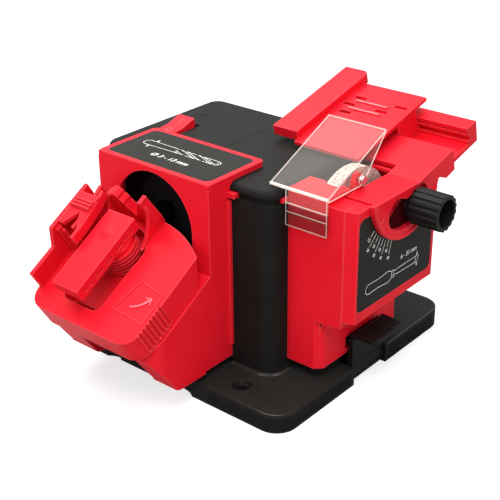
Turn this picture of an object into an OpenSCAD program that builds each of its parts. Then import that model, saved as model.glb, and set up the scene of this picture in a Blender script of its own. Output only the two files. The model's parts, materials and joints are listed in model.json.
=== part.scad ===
// Bench multi-purpose sharpener: a motor body with a drill-bit unit in front and a chisel unit on the right.
// Millimetres. The origin is the centre of the base's underside, +X is the chisel side, -Y is the drill side.

/* [Base] */
// Width of the base plate
base_w = 200; // [196:1:206]
// Depth of the base plate
base_d = 200; // [196:1:206]
// Height of the base plate's top face
base_h = 14; // [13:0.5:15]
// Radius of the base plate's corners
base_corner_r = 16; // [14:1:20]
// Distance of the bench bolt holes from the left and right edges
bolt_inset_x = 46; // [44:1:48]
// Distance of the bench bolt holes from the front and back edges
bolt_inset_y = 16; // [15:0.5:18]
// Radius of a bench bolt hole
bolt_hole_r = 2.75; // [2.25:0.25:3.25]

/* [Motor body] */
// Width of the motor body
body_w = 154; // [152:1:156]
// Depth of the motor body
body_d = 121.6; // [121:0.2:124]
// Height of the motor body's flat top
body_top = 150.3; // [149:0.1:151]
// Radius of the motor body's upright corners
body_corner_r = 11; // [10:0.5:14]
// Radius round the top edge
body_edge_r = 5; // [3:0.5:5]
// Depth of the groove that the two units hook into
groove_depth = 2.4; // [1.8:0.1:2.6]

/* [Drive] */
// Height of both wheel axes
axle_z = 119; // [118:0.5:120]
// Radius of the motor shaft and of the blade spindle
shaft_r = 4; // [3.5:0.1:4.2]
// Radius of the drill wheel
drill_wheel_r = 26; // [22:0.5:27]
// Radius of the blade wheel
blade_wheel_r = 37; // [34:0.5:37.5]
// Width of the blade wheel
blade_wheel_t = 9; // [7:0.5:11]
// Pitch radius of the bevel gears
gear_r = 16; // [15:0.5:16.5]
// Teeth on each bevel gear
gear_teeth = 16; // [12:4:16]

/* [Drill unit] */
// Width of the drill unit
drill_w = 101; // [98:1:104]
// How far the drill unit's face stands in front of the motor body
drill_depth = 21; // [20:0.5:23]
// Height where the slanted mouth meets the front face
mouth_z = 90; // [88:0.5:92]
// Slope of the mouth, half of 180 less a 118 degree drill point
mouth_angle = 31; // [30:0.5:32]
// Length of the slanted mouth
mouth_len = 67; // [65:0.5:69]
// Radius of the arched opening above the mouth
arch_r = 35.2; // [34.8:0.2:36]

/* [Swing head] */
// Width of the swing head
head_w = 97; // [95:0.5:97.5]
// Height of the head's flat face above the mouth
head_h = 20; // [19:0.5:21]
// Width of the clamp lever
lever_w = 24; // [22:0.5:25]
// Length of the clamp lever's long end
lever_long = 46.5; // [42:0.5:48]
// Width of the V jaws
jaw_w = 36; // [34:0.5:38]

/* [Blade unit] */
// Width of the blade unit along the body
blade_w = 95; // [94:0.5:97]
// How far the blade unit stands out from the motor body
blade_out = 53; // [52:0.5:54]
// Height of the blade unit's fixed top
blade_top = 146; // [145.5:0.1:146.4]

/* [Tilting table] */
// Height of the table's level part
table_z = 147.3; // [147:0.1:147.6]
// Slope of the table's rising part
table_slope = 14; // [13:0.5:15]
// Height of the tilt axis
pivot_z = 152; // [151.5:0.1:152.4]
// Radius of the round cheek
cheek_r = 38.8; // [38.4:0.1:39.4]
// Radius of the arc that the lock bolt follows
slot_r = 21.8; // [21:0.1:22.4]

/* [Carriage] */
// Width of the carriage plate, for blades up to 51 mm
plate_w = 53; // [51:0.5:54]
// Length of the carriage plate up the slope
plate_len = 86; // [84:0.5:88]
// Width of the fence bar
fence_w = 21; // [18:0.5:22]

/* [Eye shield] */
// Width of the clear sheet
shield_w = 46; // [43:0.5:47]
// Thickness of the clear sheet
shield_t = 2; // [1.6:0.1:2.4]
// Slope of the clear sheet
shield_slope = 24.5; // [23.5:0.5:26]

/* [Controls] */
// Radius of the lock knob
knob_r = 12.5; // [11.5:0.5:13.5]
// Length of the lock knob
knob_len = 22; // [20:0.5:24]
// Width of a release latch
latch_w = 36; // [32:0.5:37]
// Width of the on/off rocker
rocker_w = 15; // [13:0.5:16]
// Length of the on/off rocker
rocker_len = 26; // [24:0.5:27]

/* [Fits] */
// Gap between neighbouring bodies that move past each other
clearance = 0.4; // [0.3:0.05:0.5]
// Radial gap of a running shaft
run_fit = 0.05; // [0.03:0.01:0.09]
// Wall of the moulded shells
wall = 3; // [2.6:0.1:3.2]

/* [Hidden] */
$fn = 64;
eps = 0.01;
seat = 0.3;
RED = "#D6202C";
BLACK = "#232423";
STEEL = "#B8BCC0";

body_right = base_w / 2 - 35.8;
body_left = body_right - body_w;
body_x = (body_left + body_right) / 2;
body_y = -4.6;
body_front = body_y - body_d / 2;
body_back = body_y + body_d / 2;
body_wall = 4;
groove_z = 140.5;
groove_h = 4.5;

motor_x = body_x - 7.6;
spindle_y = -7;
bearing_r = 11;
bearing_t = 7;
plate_front = body_front + 15.4;
plate_rear = body_back - body_wall - 0.2 - bearing_t;
spindle_in = body_right - 56.2;
spindle_out = body_right - 13.2;

drill_x = motor_x;
drill_front = body_front - drill_depth;
drill_back = body_front - seat;
drill_top = body_top + seat + 4;
drill_cap_back = body_front + 35.4;
mouth_end_y = drill_front - mouth_len * cos(mouth_angle);
mouth_end_z = mouth_z - mouth_len * sin(mouth_angle);
belly_z = base_h + 4.3;
belly_corner_r = 14;
belly_face_z = mouth_end_z - 5.5;
belly_foot_z = belly_z + 4;
belly_foot_y = 20;
belly_gap = 28.2;
belly_gap_x = drill_x + 2.2;
belly_gap_z = 50;
belly_gap_back = drill_front - 9.6;
cap_corner_r = 4;
arch_z = 115.8;
rim = 4;

head_gap = 0.5;
head_front = -74.5;
head_pivot_u = -43;
head_pivot_r = 8;
clamp_x = -10.6;
clamp_u = -14.7;
clamp_r = 15;
lever_short = 16.6;
lever_bottom = 30;
lever_h = 9;
jaw_u = 10.3;
jaw_t = 7;
jaw_top = 45;
gauge_top = 47;
gauge_t = 3;

blade_left = body_right + seat;
blade_right = body_right + blade_out;
blade_split = blade_right - 8.8;
blade_y0 = -48.3;
blade_y1 = blade_y0 + blade_w;
hood_top = body_top + 0.2;
hood_back = -25;
leg_chamfer = 5;
leg_x = body_right + 27.8;
leg_z = base_h + 9;
overhang_z = 67;
guard_x = body_right + 29;
wheel_x = body_right + 14.8;

pivot_y = 4;
bend_y = 17;
table_t = 3.7;
table_x0 = guard_x + wall + clearance + 0.2;
cheek_x0 = blade_right + 0.7;
cheek_x1 = cheek_x0 + 3.2;
table_near = -30.2;
window_far = 27.7;
slope_x0 = body_right + 2;
rail_x0 = body_right - 39.2;
rail_x1 = blade_right + 0.3;
channel_s0 = 42.5;
channel_s1 = 66.9;
rail_s1 = 78.8;
channel_floor = -11.5;
rail_bottom = -15;
rib_r0 = 33.4;
rib_r1 = 36.6;
bolt_angle = 297;
bolt_r = 3;
bolt_y = pivot_y + slot_r * cos(bolt_angle);
bolt_z = pivot_z + slot_r * sin(bolt_angle);
slot_half = 10.5;
slot_from = 240;
slot_to = 311;
tilt_max = 35;

plate_x0 = body_right - 39.4;
plate_s0 = -6.5;
plate_t0 = 7.2;
plate_t = 2.6;
shoe_len = 43;
fence_t = 7.2;

shield_x1 = body_right + 35.1;
skirt_z = 126;
shield_y0 = -53;
shield_z0 = hood_top + 2.7;
shield_y1 = 9;
hinge_y = -16.2;
hinge_z = 154.3;
pin_r = 1.5;

latch_pin_z = 8;
latch_pin_x = leg_x + 2;
latch_y = 1.5;
front_pin_y = -base_d / 2 + 10;
front_latch_w = latch_w - 4;
gap_w = latch_w + 3;
latch_turn = 8;

rocker_x = body_left + 23.8;
rocker_y = -14;
rocker_pin_z = body_top - 3.8;

knob_x = cheek_x1 + 1.3;

// A flat outline in Y and Z, carried along X from x0 to x1
module slab_x(x0, x1)
{
    translate([x0, 0, 0])
        rotate([90, 0, 90])
            linear_extrude(x1 - x0)
                children();
}

// A flat outline in X and Z, carried along Y from y0 to y1
module slab_y(y0, y1)
{
    translate([0, y1, 0])
        rotate([90, 0, 0])
            linear_extrude(y1 - y0)
                children();
}

// A box between two corners
module block(low, high)
{
    translate(low)
        cube(high - low);
}

// A cylinder along X at a place in Y and Z
module rod_x(y, z, r, x0, x1)
{
    translate([x0, y, z])
        rotate([0, 90, 0])
            cylinder(r = r, h = x1 - x0);
}

// A cylinder along Y at a place in X and Z
module rod_y(x, z, r, y0, y1)
{
    translate([x, y1, z])
        rotate([90, 0, 0])
            cylinder(r = r, h = y1 - y0);
}

// A rectangle with round corners, centred
module round_rect(w, d, r)
{
    square([w - 2 * r, d], center = true);
    square([w, d - 2 * r], center = true);
    for (sx = [-1, 1], sy = [-1, 1])
        translate([sx * (w / 2 - r), sy * (d / 2 - r)])
            circle(r);
}

// A post with a round shoulder, one corner of the motor body
module soft_post(r, h, edge)
{
    rotate_extrude($fn = 32)
    {
        square([r, h - edge]);
        square([r - edge, h]);
        translate([r - edge, h - edge])
            circle(edge);
    }
}

// The frame of the slanted mouth: x across, y up the slope, z out of the mouth
module mouth_frame()
{
    translate([drill_x, drill_front, mouth_z])
        rotate([mouth_angle, 0, 0])
            children();
}

// The frame of the table's rising part: y up the slope, z out of its face
module slope_frame()
{
    translate([0, bend_y, table_z])
        rotate([table_slope, 0, 0])
            children();
}

// A point of the rising part, in Y and Z
function slope_point(s, t) = [
    bend_y + s * cos(table_slope) - t * sin(table_slope),
    table_z + s * sin(table_slope) + t * cos(table_slope)
];

// A sector of a ring round the tilt axis, in Y and Z
module pivot_ring(r0, r1, from, to)
{
    steps = 6;
    fan = [for (i = [0 : steps]) let (a = from + (to - from) * i / steps) [cos(a), sin(a)] * r1 * 1.5];
    translate([pivot_y, pivot_z])
        intersection()
        {
            difference()
            {
                circle(r1);
                circle(r0);
            }
            polygon(concat([[0, 0]], fan));
        }
}

module bolt_places()
{
    for (sx = [-1, 1], sy = [-1, 1])
        translate([sx * (base_w / 2 - bolt_inset_x), sy * (base_d / 2 - bolt_inset_y), 0])
            children();
}

foot_x = base_w / 2 - 30;
foot_y = base_d / 2 - 45;
foot_r = 9;
foot_h = 3;
floor_t = 4;
boss_r = 8;
cover_inset = 13;

module foot_places()
{
    for (sx = [-1, 1], sy = [-1, 1])
        translate([sx * foot_x, sy * foot_y, 0])
            children();
}

module screw_places()
{
    for (sx = [-1, 1], sy = [-1, 1])
        translate([sx * 40, sy * 62, 0])
            children();
}

module base_plate()
{
    dish_r = 7;
    rim_r = 10;
    recess = 3.6;
    ledge = 9;
    ledge_h = 0.8;
    color(BLACK)
    difference()
    {
        union()
        {
            difference()
            {
                linear_extrude(base_h)
                    round_rect(base_w, base_d, base_corner_r);
                translate([0, 0, -eps])
                    linear_extrude(base_h - floor_t)
                        round_rect(base_w - 2 * floor_t, base_d - 2 * floor_t, base_corner_r - floor_t);
            }
            // Low ledge round the foot of the motor body
            translate([body_x, body_y, base_h - 1])
                linear_extrude(1 + ledge_h)
                    difference()
                    {
                        translate([ledge / 2, 0])
                            round_rect(body_w + ledge, body_d + 2 * ledge, body_corner_r + ledge);
                        round_rect(body_w + 1, body_d + 1, body_corner_r + 0.5);
                    }
            bolt_places()
            {
                cylinder(r = boss_r, h = base_h - 1);
                translate([0, 0, base_h - 1])
                    cylinder(r = rim_r, h = 1.8);
            }
            foot_places()
                translate([0, 0, foot_h])
                    cylinder(r = foot_r, h = base_h - foot_h - 1);
            screw_places()
                translate([0, 0, 2])
                    cylinder(r = 4, h = base_h - 3);
            // Lugs that carry the two latch pins
            for (s = [-1, 1])
            {
                block([latch_pin_x - 6, latch_y + s * (gap_w / 2 + 2.5) - 2.5, 3],
                    [base_w / 2 - 1, latch_y + s * (gap_w / 2 + 2.5) + 2.5, base_h - 1]);
                block([drill_x + s * (gap_w / 2 + 2.5) - 2.5, -base_d / 2 + recess + 1, 3],
                    [drill_x + s * (gap_w / 2 + 2.5) + 2.5, front_pin_y + 6, base_h - 1]);
            }
        }
        bolt_places()
        {
            translate([0, 0, -1])
                cylinder(r = bolt_hole_r, h = base_h + 4);
            translate([0, 0, base_h - 3.5])
                cylinder(r = dish_r, h = 6);
        }
        // The front edge steps back under the drill unit
        translate([drill_x + 1, -base_d / 2 + recess - 20, -1])
            linear_extrude(base_h + 2)
                round_rect(drill_w - 6, 40, base_corner_r);
        // Gaps for the two release latches
        block([latch_pin_x - 9, latch_y - gap_w / 2, -1], [base_w / 2 + 1, latch_y + gap_w / 2, base_h + 1]);
        block([drill_x - gap_w / 2, -base_d / 2 - 1, -1], [drill_x + gap_w / 2, front_pin_y + 9, base_h + 1]);
        rod_y(latch_pin_x, latch_pin_z, pin_r + run_fit, latch_y - gap_w / 2 - 6, latch_y + gap_w / 2 + 6);
        rod_x(front_pin_y, latch_pin_z, pin_r + run_fit, drill_x - gap_w / 2 - 6, drill_x + gap_w / 2 + 6);
        screw_places()
            cylinder(r = 1.5, h = base_h - 4);
    }
}

module base_cover()
{
    color("#2C2D2C")
    difference()
    {
        linear_extrude(2)
            round_rect(base_w - 2 * cover_inset, base_d - 2 * cover_inset, 10);
        bolt_places()
            translate([0, 0, -1])
                cylinder(r = boss_r + clearance, h = 4);
        foot_places()
            translate([0, 0, -1])
                cylinder(r = foot_r + clearance, h = 4);
        screw_places()
            translate([0, 0, -1])
                cylinder(r = 1.8, h = 4);
        screw_places()
            translate([0, 0, -1])
                cylinder(r = 3.4, h = 2);
        block([latch_pin_x - 9.5, latch_y - gap_w / 2 - 6, -1], [base_w / 2, latch_y + gap_w / 2 + 6, 3]);
        block([drill_x - gap_w / 2 - 6, -base_d / 2, -1], [drill_x + gap_w / 2 + 6, front_pin_y + 9.5, 3]);
    }
}

module rubber_feet()
{
    color("#1B1B1B")
        foot_places()
            cylinder(r = foot_r, h = foot_h);
}

module cover_screws()
{
    color(STEEL)
        screw_places()
        {
            translate([0, 0, 0.2])
                cylinder(r = 3, h = 0.75);
            translate([0, 0, 0.9])
                cylinder(r = 1.45, h = 7);
        }
}

gland_x = body_left + 29.8;
gland_z = 32;
gland_r = 6;
switch_w = rocker_w + 4;
switch_len = rocker_len + 4;
dimple_r = 9;

// The whole motor housing, before it is parted into halves
module housing()
{
    z0 = base_h + seat;
    h = body_top - z0;
    difference()
    {
        translate([body_x, body_y, z0])
            hull()
                for (sx = [-1, 1], sy = [-1, 1])
                    translate([sx * (body_w / 2 - body_corner_r), sy * (body_d / 2 - body_corner_r), 0])
                        soft_post(body_corner_r, h, body_edge_r);
        translate([body_x, body_y, z0 - 1])
            linear_extrude(h + 1 - body_wall)
                round_rect(body_w - 2 * body_wall, body_d - 2 * body_wall, body_corner_r - body_wall);
        // Groove that the drill unit and the blade unit hook into
        translate([body_x, body_y, groove_z])
            linear_extrude(groove_h)
                difference()
                {
                    square([body_w + 4, body_d + 4], center = true);
                    round_rect(body_w - 2 * groove_depth, body_d - 2 * groove_depth,
                        body_corner_r - groove_depth);
                }
        rod_y(motor_x, axle_z, drill_wheel_r + 1.5, body_front - 1, body_front + body_wall + 1);
        rod_x(spindle_y, axle_z, shaft_r + 3, body_right - body_wall - 1, body_right + 1);
        block([rocker_x - switch_w / 2 - seat, rocker_y - switch_len / 2 - seat, body_top - body_wall - 1],
            [rocker_x + switch_w / 2 + seat, rocker_y + switch_len / 2 + seat, body_top + 1]);
        rod_y(gland_x, gland_z, gland_r + run_fit, body_back - body_wall - 1, body_back + 1);
        // Cooling slots low in the back wall
        for (i = [0 : 7])
            translate([body_right - 54.2 + i * 6, 0, 0])
                block([0, body_back - body_wall - 1, 60], [2.5, body_back + 1, 90]);
        // Shallow finger dish on the lid
        translate([body_left + 13.8, body_y + 23.6, body_top + 38.9])
            sphere(r = 40);
    }
}

module half_of_housing(x0, x1)
{
    intersection()
    {
        housing();
        block([x0, body_front - 5, 0], [x1, body_back + 5, body_top + 5]);
    }
}

module housing_left()
{
    color(BLACK)
        half_of_housing(body_left - 5, body_x - 0.1);
}

module housing_right()
{
    color(BLACK)
        half_of_housing(body_x + 0.1, body_right + 5);
}

module housing_screws()
{
    head_h = 2.4;
    color(STEEL)
        for (sx = [-1, 1], sy = [-1, 1])
            translate([body_x + sx * (body_w / 2 - 17), sy * (foot_y - 20), base_h - floor_t - head_h - 0.05])
                cylinder(r = 3, h = head_h);
}

module cord_gland()
{
    color("#1A1A1A")
    difference()
    {
        union()
        {
            rod_y(gland_x, gland_z, gland_r, body_back - body_wall, body_back + 0.5);
            rod_y(gland_x, gland_z, gland_r + 2, body_back + 0.3, body_back + 4);
            rod_y(gland_x, gland_z, gland_r + 2, body_back - body_wall - 3, body_back - body_wall - 0.2);
        }
        rod_y(gland_x, gland_z, 3.2, body_back - body_wall - 4, body_back + 5);
    }
}

module switch_body()
{
    top = body_top - 1.2;
    bottom = body_top - 28.3;
    color("#1A1A1A")
    difference()
    {
        block([rocker_x - switch_w / 2, rocker_y - switch_len / 2, bottom],
            [rocker_x + switch_w / 2, rocker_y + switch_len / 2, top]);
        block([rocker_x - rocker_w / 2 - clearance, rocker_y - rocker_len / 2 - clearance - 0.8, bottom + 10],
            [rocker_x + rocker_w / 2 + clearance, rocker_y + rocker_len / 2 + clearance + 0.8, top + 1]);
        rod_x(rocker_y, rocker_pin_z, pin_r + run_fit, rocker_x - switch_w / 2 - 1,
            rocker_x + switch_w / 2 + 1);
    }
}

module switch_rocker()
{
    half = rocker_len / 2;
    color(RED)
    {
        slab_x(rocker_x - rocker_w / 2, rocker_x + rocker_w / 2)
            translate([rocker_y, rocker_pin_z])
                rotate(12)
                    polygon([[-half, 3], [-half, 7.4], [0, 6], [half, 7.4], [half, 3], [5, -8], [-5, -8]]);
        rod_x(rocker_y, rocker_pin_z, pin_r, rocker_x - switch_w / 2 + 0.1, rocker_x + switch_w / 2 - 0.1);
    }
}

cradle_half = 20;
cradle_floor = 3;

// An upright plate that holds a bearing, in a flat outline with the axis at its top
module bearing_plate(middle, half)
{
    z0 = base_h + seat;
    difference()
    {
        union()
        {
            translate([middle - half, z0])
                square([2 * half, axle_z - z0]);
            translate([middle, axle_z])
                circle(half);
        }
        translate([middle, axle_z])
            circle(bearing_r);
    }
}

module motor_cradle()
{
    z0 = base_h + seat;
    color("#8E9398")
    {
        block([motor_x - cradle_half, plate_front, z0],
            [motor_x + cradle_half, plate_rear + bearing_t, z0 + cradle_floor]);
        slab_y(plate_front, plate_front + bearing_t)
            bearing_plate(motor_x, cradle_half);
        slab_y(plate_rear, plate_rear + bearing_t)
            bearing_plate(motor_x, cradle_half);
        difference()
        {
            block([motor_x - 12, stator_y0 + 2, z0], [motor_x + 12, stator_y1 - 2, axle_z - 18]);
            rod_y(motor_x, axle_z, stator_r, stator_y0 - 1, stator_y1 + 1);
        }
    }
}

stator_r = 27;
stator_bore = 16;
stator_y0 = spindle_y + 20;
stator_y1 = plate_rear - 9;

module stator()
{
    color("#7A7D80")
    difference()
    {
        rod_y(motor_x, axle_z, stator_r, stator_y0, stator_y1);
        rod_y(motor_x, axle_z, stator_bore, stator_y0 - 1, stator_y1 + 1);
        for (s = [-1, 1])
            block([motor_x - 9.3, stator_y0 - 1, axle_z + s * 21 - 3.3],
                [motor_x + 9.3, stator_y1 + 1, axle_z + s * 21 + 3.3]);
    }
}

module field_coils()
{
    color("#A5582C")
        for (s = [-1, 1])
            block([motor_x - 9, stator_y0 - 4, axle_z + s * 21 - 3],
                [motor_x + 9, stator_y1 + 1, axle_z + s * 21 + 3]);
}

module brush_holders()
{
    color("#C09A4A")
        for (s = [-1, 1])
            translate([motor_x + s * 16.5, plate_rear - 3.75, axle_z])
                cube([13, 7.5, 8], center = true);
}

module ball_bearing()
{
    difference()
    {
        cylinder(r = bearing_r, h = bearing_t);
        translate([0, 0, -1])
            cylinder(r = shaft_r + run_fit, h = bearing_t + 2);
        for (z = [-1, bearing_t - 0.5])
            translate([0, 0, z])
                difference()
                {
                    cylinder(r = bearing_r - 2, h = 1.5);
                    cylinder(r = shaft_r + 2, h = 1.5);
                }
    }
}

module motor_bearings()
{
    color(STEEL)
        for (y = [plate_front, plate_rear])
            translate([motor_x, y + bearing_t, axle_z])
                rotate([90, 0, 0])
                    ball_bearing();
}

shaft_nose = body_front - 12;
drill_wheel_y0 = body_front - 6.6;
drill_wheel_t = 10;

module motor_shaft()
{
    color(STEEL)
    {
        rod_y(motor_x, axle_z, shaft_r, shaft_nose, plate_rear + bearing_t);
        rod_y(motor_x, axle_z, shaft_r + 4, drill_wheel_y0 + drill_wheel_t,
            drill_wheel_y0 + drill_wheel_t + 3);
    }
}

// A disc on the motor shaft
module on_shaft(r, y0, y1)
{
    difference()
    {
        rod_y(motor_x, axle_z, r, y0, y1);
        rod_y(motor_x, axle_z, shaft_r, y0 - 1, y1 + 1);
    }
}

module armature()
{
    color("#8A5A3A")
        on_shaft(stator_bore - 0.6, stator_y0 - 1, stator_y1);
}

module commutator()
{
    bars = 12;
    color("#B87333")
    difference()
    {
        on_shaft(9.4, plate_rear - 8, plate_rear - 1);
        for (i = [0 : bars - 1])
            translate([motor_x, 0, axle_z])
                rotate([0, i * 360 / bars, 0])
                    block([8.4, plate_rear - 7, -0.3], [11, plate_rear, 0.3]);
    }
}

module cooling_fan()
{
    blades = 9;
    fan_y0 = plate_front + bearing_t + 3;
    fan_y1 = spindle_y - gear_r - 8;
    color("#E8E6DF")
    {
        on_shaft(8, fan_y0, fan_y1);
        on_shaft(21, fan_y1 - 2, fan_y1);
        for (i = [0 : blades - 1])
            translate([motor_x, 0, axle_z])
                rotate([0, i * 360 / blades, 0])
                    block([7.5, fan_y0 + 1, -0.8], [20.5, fan_y1 - 1.5, 0.8]);
    }
}

// A straight-toothed bevel gear: its back at z = 0, tapering towards the common cone point
module bevel_gear(turn)
{
    face = 6;
    tip = gear_r * 1.1;
    root = gear_r * 0.86;
    pitch = 360 / gear_teeth;
    outline = [for (i = [0 : gear_teeth - 1], k = [[root, -0.29], [tip, -0.13], [tip, 0.13], [root, 0.29]])
        let (a = (i + k[1]) * pitch + turn) [cos(a), sin(a)] * k[0]];
    difference()
    {
        union()
        {
            linear_extrude(face, scale = (gear_r - face) / gear_r)
                polygon(outline);
            translate([0, 0, -5])
                cylinder(r = 9, h = 5 + eps);
        }
        translate([0, 0, -6])
            cylinder(r = shaft_r, h = face + 7);
    }
}

module drive_bevel()
{
    color("#9A9DA0")
        translate([motor_x, spindle_y - gear_r, axle_z])
            rotate([-90, 0, 0])
                bevel_gear(0);
}

module driven_bevel()
{
    color("#9A9DA0")
        translate([motor_x + gear_r, spindle_y, axle_z])
            rotate([0, -90, 0])
                bevel_gear(90 + 180 / gear_teeth);
}

module drill_wheel()
{
    color("#3A3A3C")
        on_shaft(drill_wheel_r, drill_wheel_y0, drill_wheel_y0 + drill_wheel_t);
}

module drill_wheel_nut()
{
    color(STEEL)
    difference()
    {
        translate([motor_x, drill_wheel_y0, axle_z])
            rotate([90, 0, 0])
                cylinder(r = 7.5, h = 5, $fn = 6);
        rod_y(motor_x, axle_z, shaft_r, drill_wheel_y0 - 6, drill_wheel_y0 + 1);
    }
}

module spindle_cradle()
{
    z0 = base_h + seat;
    color("#8E9398")
    {
        block([spindle_in, spindle_y - cradle_half, z0],
            [spindle_out + bearing_t, spindle_y + cradle_half, z0 + cradle_floor]);
        slab_x(spindle_in, spindle_in + bearing_t)
            bearing_plate(spindle_y, cradle_half);
        slab_x(spindle_out, spindle_out + bearing_t)
            bearing_plate(spindle_y, cradle_half);
    }
}

module spindle_bearings()
{
    color(STEEL)
        for (x = [spindle_in, spindle_out])
            translate([x, spindle_y, axle_z])
                rotate([0, 90, 0])
                    ball_bearing();
}

wheel_nut_len = 6;

module blade_spindle()
{
    color(STEEL)
        rod_x(spindle_y, axle_z, shaft_r, motor_x + 9.4, wheel_x + blade_wheel_t + wheel_nut_len + 2);
}

// A disc on the blade spindle
module on_spindle(r, x0, x1)
{
    difference()
    {
        rod_x(spindle_y, axle_z, r, x0, x1);
        rod_x(spindle_y, axle_z, shaft_r, x0 - 1, x1 + 1);
    }
}

module wheel_flange()
{
    color(STEEL)
        on_spindle(14, wheel_x - 3, wheel_x);
}

module blade_wheel()
{
    color("#B9ADA0")
        difference()
        {
            on_spindle(blade_wheel_r, wheel_x, wheel_x + blade_wheel_t);
            on_spindle(15, wheel_x + blade_wheel_t - 3, wheel_x + blade_wheel_t + 1);
        }
}

module blade_wheel_nut()
{
    x0 = wheel_x + blade_wheel_t - 3;
    color(STEEL)
    difference()
    {
        union()
        {
            rod_x(spindle_y, axle_z, 12, x0, x0 + 2);
            translate([x0 + 2, spindle_y, axle_z])
                rotate([0, 90, 0])
                    cylinder(r = 7.5, h = wheel_nut_len, $fn = 6);
        }
        rod_x(spindle_y, axle_z, shaft_r, x0 - 1, x0 + wheel_nut_len + 4);
    }
}

// The drill unit's side outline; inset shrinks it to the inside of its wall
module drill_outline(inset, back)
{
    lift = inset / cos(mouth_angle) - inset * tan(mouth_angle);
    step_y = drill_front - 7;
    foot_y = mouth_end_y + belly_foot_y;
    polygon(concat(
        [[back, belly_z + 2 + inset], [back, body_top + seat], [drill_front + inset, body_top + seat],
            [drill_front + inset, mouth_z - lift], [mouth_end_y + inset, mouth_end_z - lift],
            [mouth_end_y + inset, belly_face_z + inset / 3]],
        [for (a = [0 : 22.5 : 90]) [foot_y + inset + 7 * (1 - cos(a)), belly_z + inset
            + (belly_foot_z - belly_z) * (1 - sin(a))]],
        [[step_y, belly_z + inset], [step_y, belly_z + 2 + inset]]));
}

// Plan of the drill unit with rounded front corners
module drill_plan(inset)
{
    d = 2 * drill_w;
    translate([drill_x, mouth_end_y + d / 2, belly_z - 1])
        linear_extrude(drill_top)
            round_rect(drill_w - 2 * inset, d - 2 * inset, belly_corner_r - inset);
}

module drill_housing()
{
    left = drill_x - drill_w / 2;
    right = drill_x + drill_w / 2;
    tab = 6;
    color(RED)
    difference()
    {
        union()
        {
            intersection()
            {
                slab_x(left, right)
                    drill_outline(0, drill_back);
                drill_plan(0);
            }
            // Flange down each side, against the motor body
            for (s = [-1, 1])
                translate([drill_x + s * (drill_w / 2 - 0.75), drill_back - 1.5, (belly_z + body_top) / 2])
                    cube([4.5, 3, body_top - belly_z - 24], center = true);
            // The cap reaches back over the motor body
            translate([drill_x, (drill_front + drill_cap_back) / 2, body_top + seat])
                linear_extrude(drill_top - body_top - seat)
                    round_rect(drill_w, drill_cap_back - drill_front, cap_corner_r);
            // Its root follows the body's rounded edge
            slab_x(left, right)
                polygon(concat([[drill_back - 1, body_top + seat + 1], [drill_back - 1,
                    body_top - body_edge_r]],
                    [for (a = [180 : -15 : 90]) [body_front + body_edge_r + (body_edge_r + seat) * cos(a),
                        body_top - body_edge_r + (body_edge_r + seat) * sin(a)]],
                    [[body_front + body_edge_r, body_top + seat + 1]]));
            for (s = [-1, 1])
                translate([drill_x + s * (drill_w / 2 - 3 + tab / 2), 0, 0])
                    block([-tab / 2 - 3, drill_back - 3, groove_z + 0.5],
                        [tab / 2 + 3, body_front + groove_depth - 0.3, groove_z + groove_h - 0.5]);
        }
        intersection()
        {
            slab_x(left + wall, right - wall)
                drill_outline(wall, drill_back + 5);
            drill_plan(wall);
        }
        // The belly is open in the middle, over the release latch
        slab_y(mouth_end_y - 1, belly_gap_back)
            translate([belly_gap_x, belly_gap_z / 2])
                round_rect(2 * belly_gap, belly_gap_z, 8);
        // Arched opening in front of the wheel
        rod_y(drill_x, arch_z, arch_r, drill_front - 1, drill_front + wall + 1);
        block([drill_x - arch_r, drill_front - 1, mouth_z - eps],
            [drill_x + arch_r, drill_front + wall + 1, arch_z]);
        // Recess for the label
        translate([drill_x, (drill_front + drill_cap_back) / 2, drill_top - 0.6])
            linear_extrude(1)
                round_rect(drill_w - 2 * rim, drill_cap_back - drill_front - 2 * rim, 5);
        mouth_frame()
            translate([0, head_pivot_u, -10])
                cylinder(r = head_pivot_r + run_fit, h = 12);
        // Slot for the hook of the release latch
        block([drill_x - front_latch_w / 2 - 1, front_pin_y - 5, belly_z - 1],
            [drill_x + front_latch_w / 2 + 1, front_pin_y + 2.4, belly_z + 6]);
    }
}

module drill_label()
{
    color("#3B3D3A")
        translate([drill_x, (drill_front + drill_cap_back) / 2, drill_top - 0.6])
            linear_extrude(0.6)
                round_rect(drill_w - 2 * rim - 0.2, drill_cap_back - drill_front - 2 * rim - 0.2, 4.9);
}

// Plan of the swing head, seen along its swing axis
module head_plan(inset)
{
    w = head_w - 2 * inset;
    d = 120;
    r = 13 - inset;
    translate([0, head_front + inset + d / 2])
        round_rect(w, d, r);
}

// The upright round back of the head, which follows the front wall
module head_back(radius)
{
    rotate([-mouth_angle, 0, 0])
        translate([0, -86, -90])
            cylinder(r = radius, h = 240);
}

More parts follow.
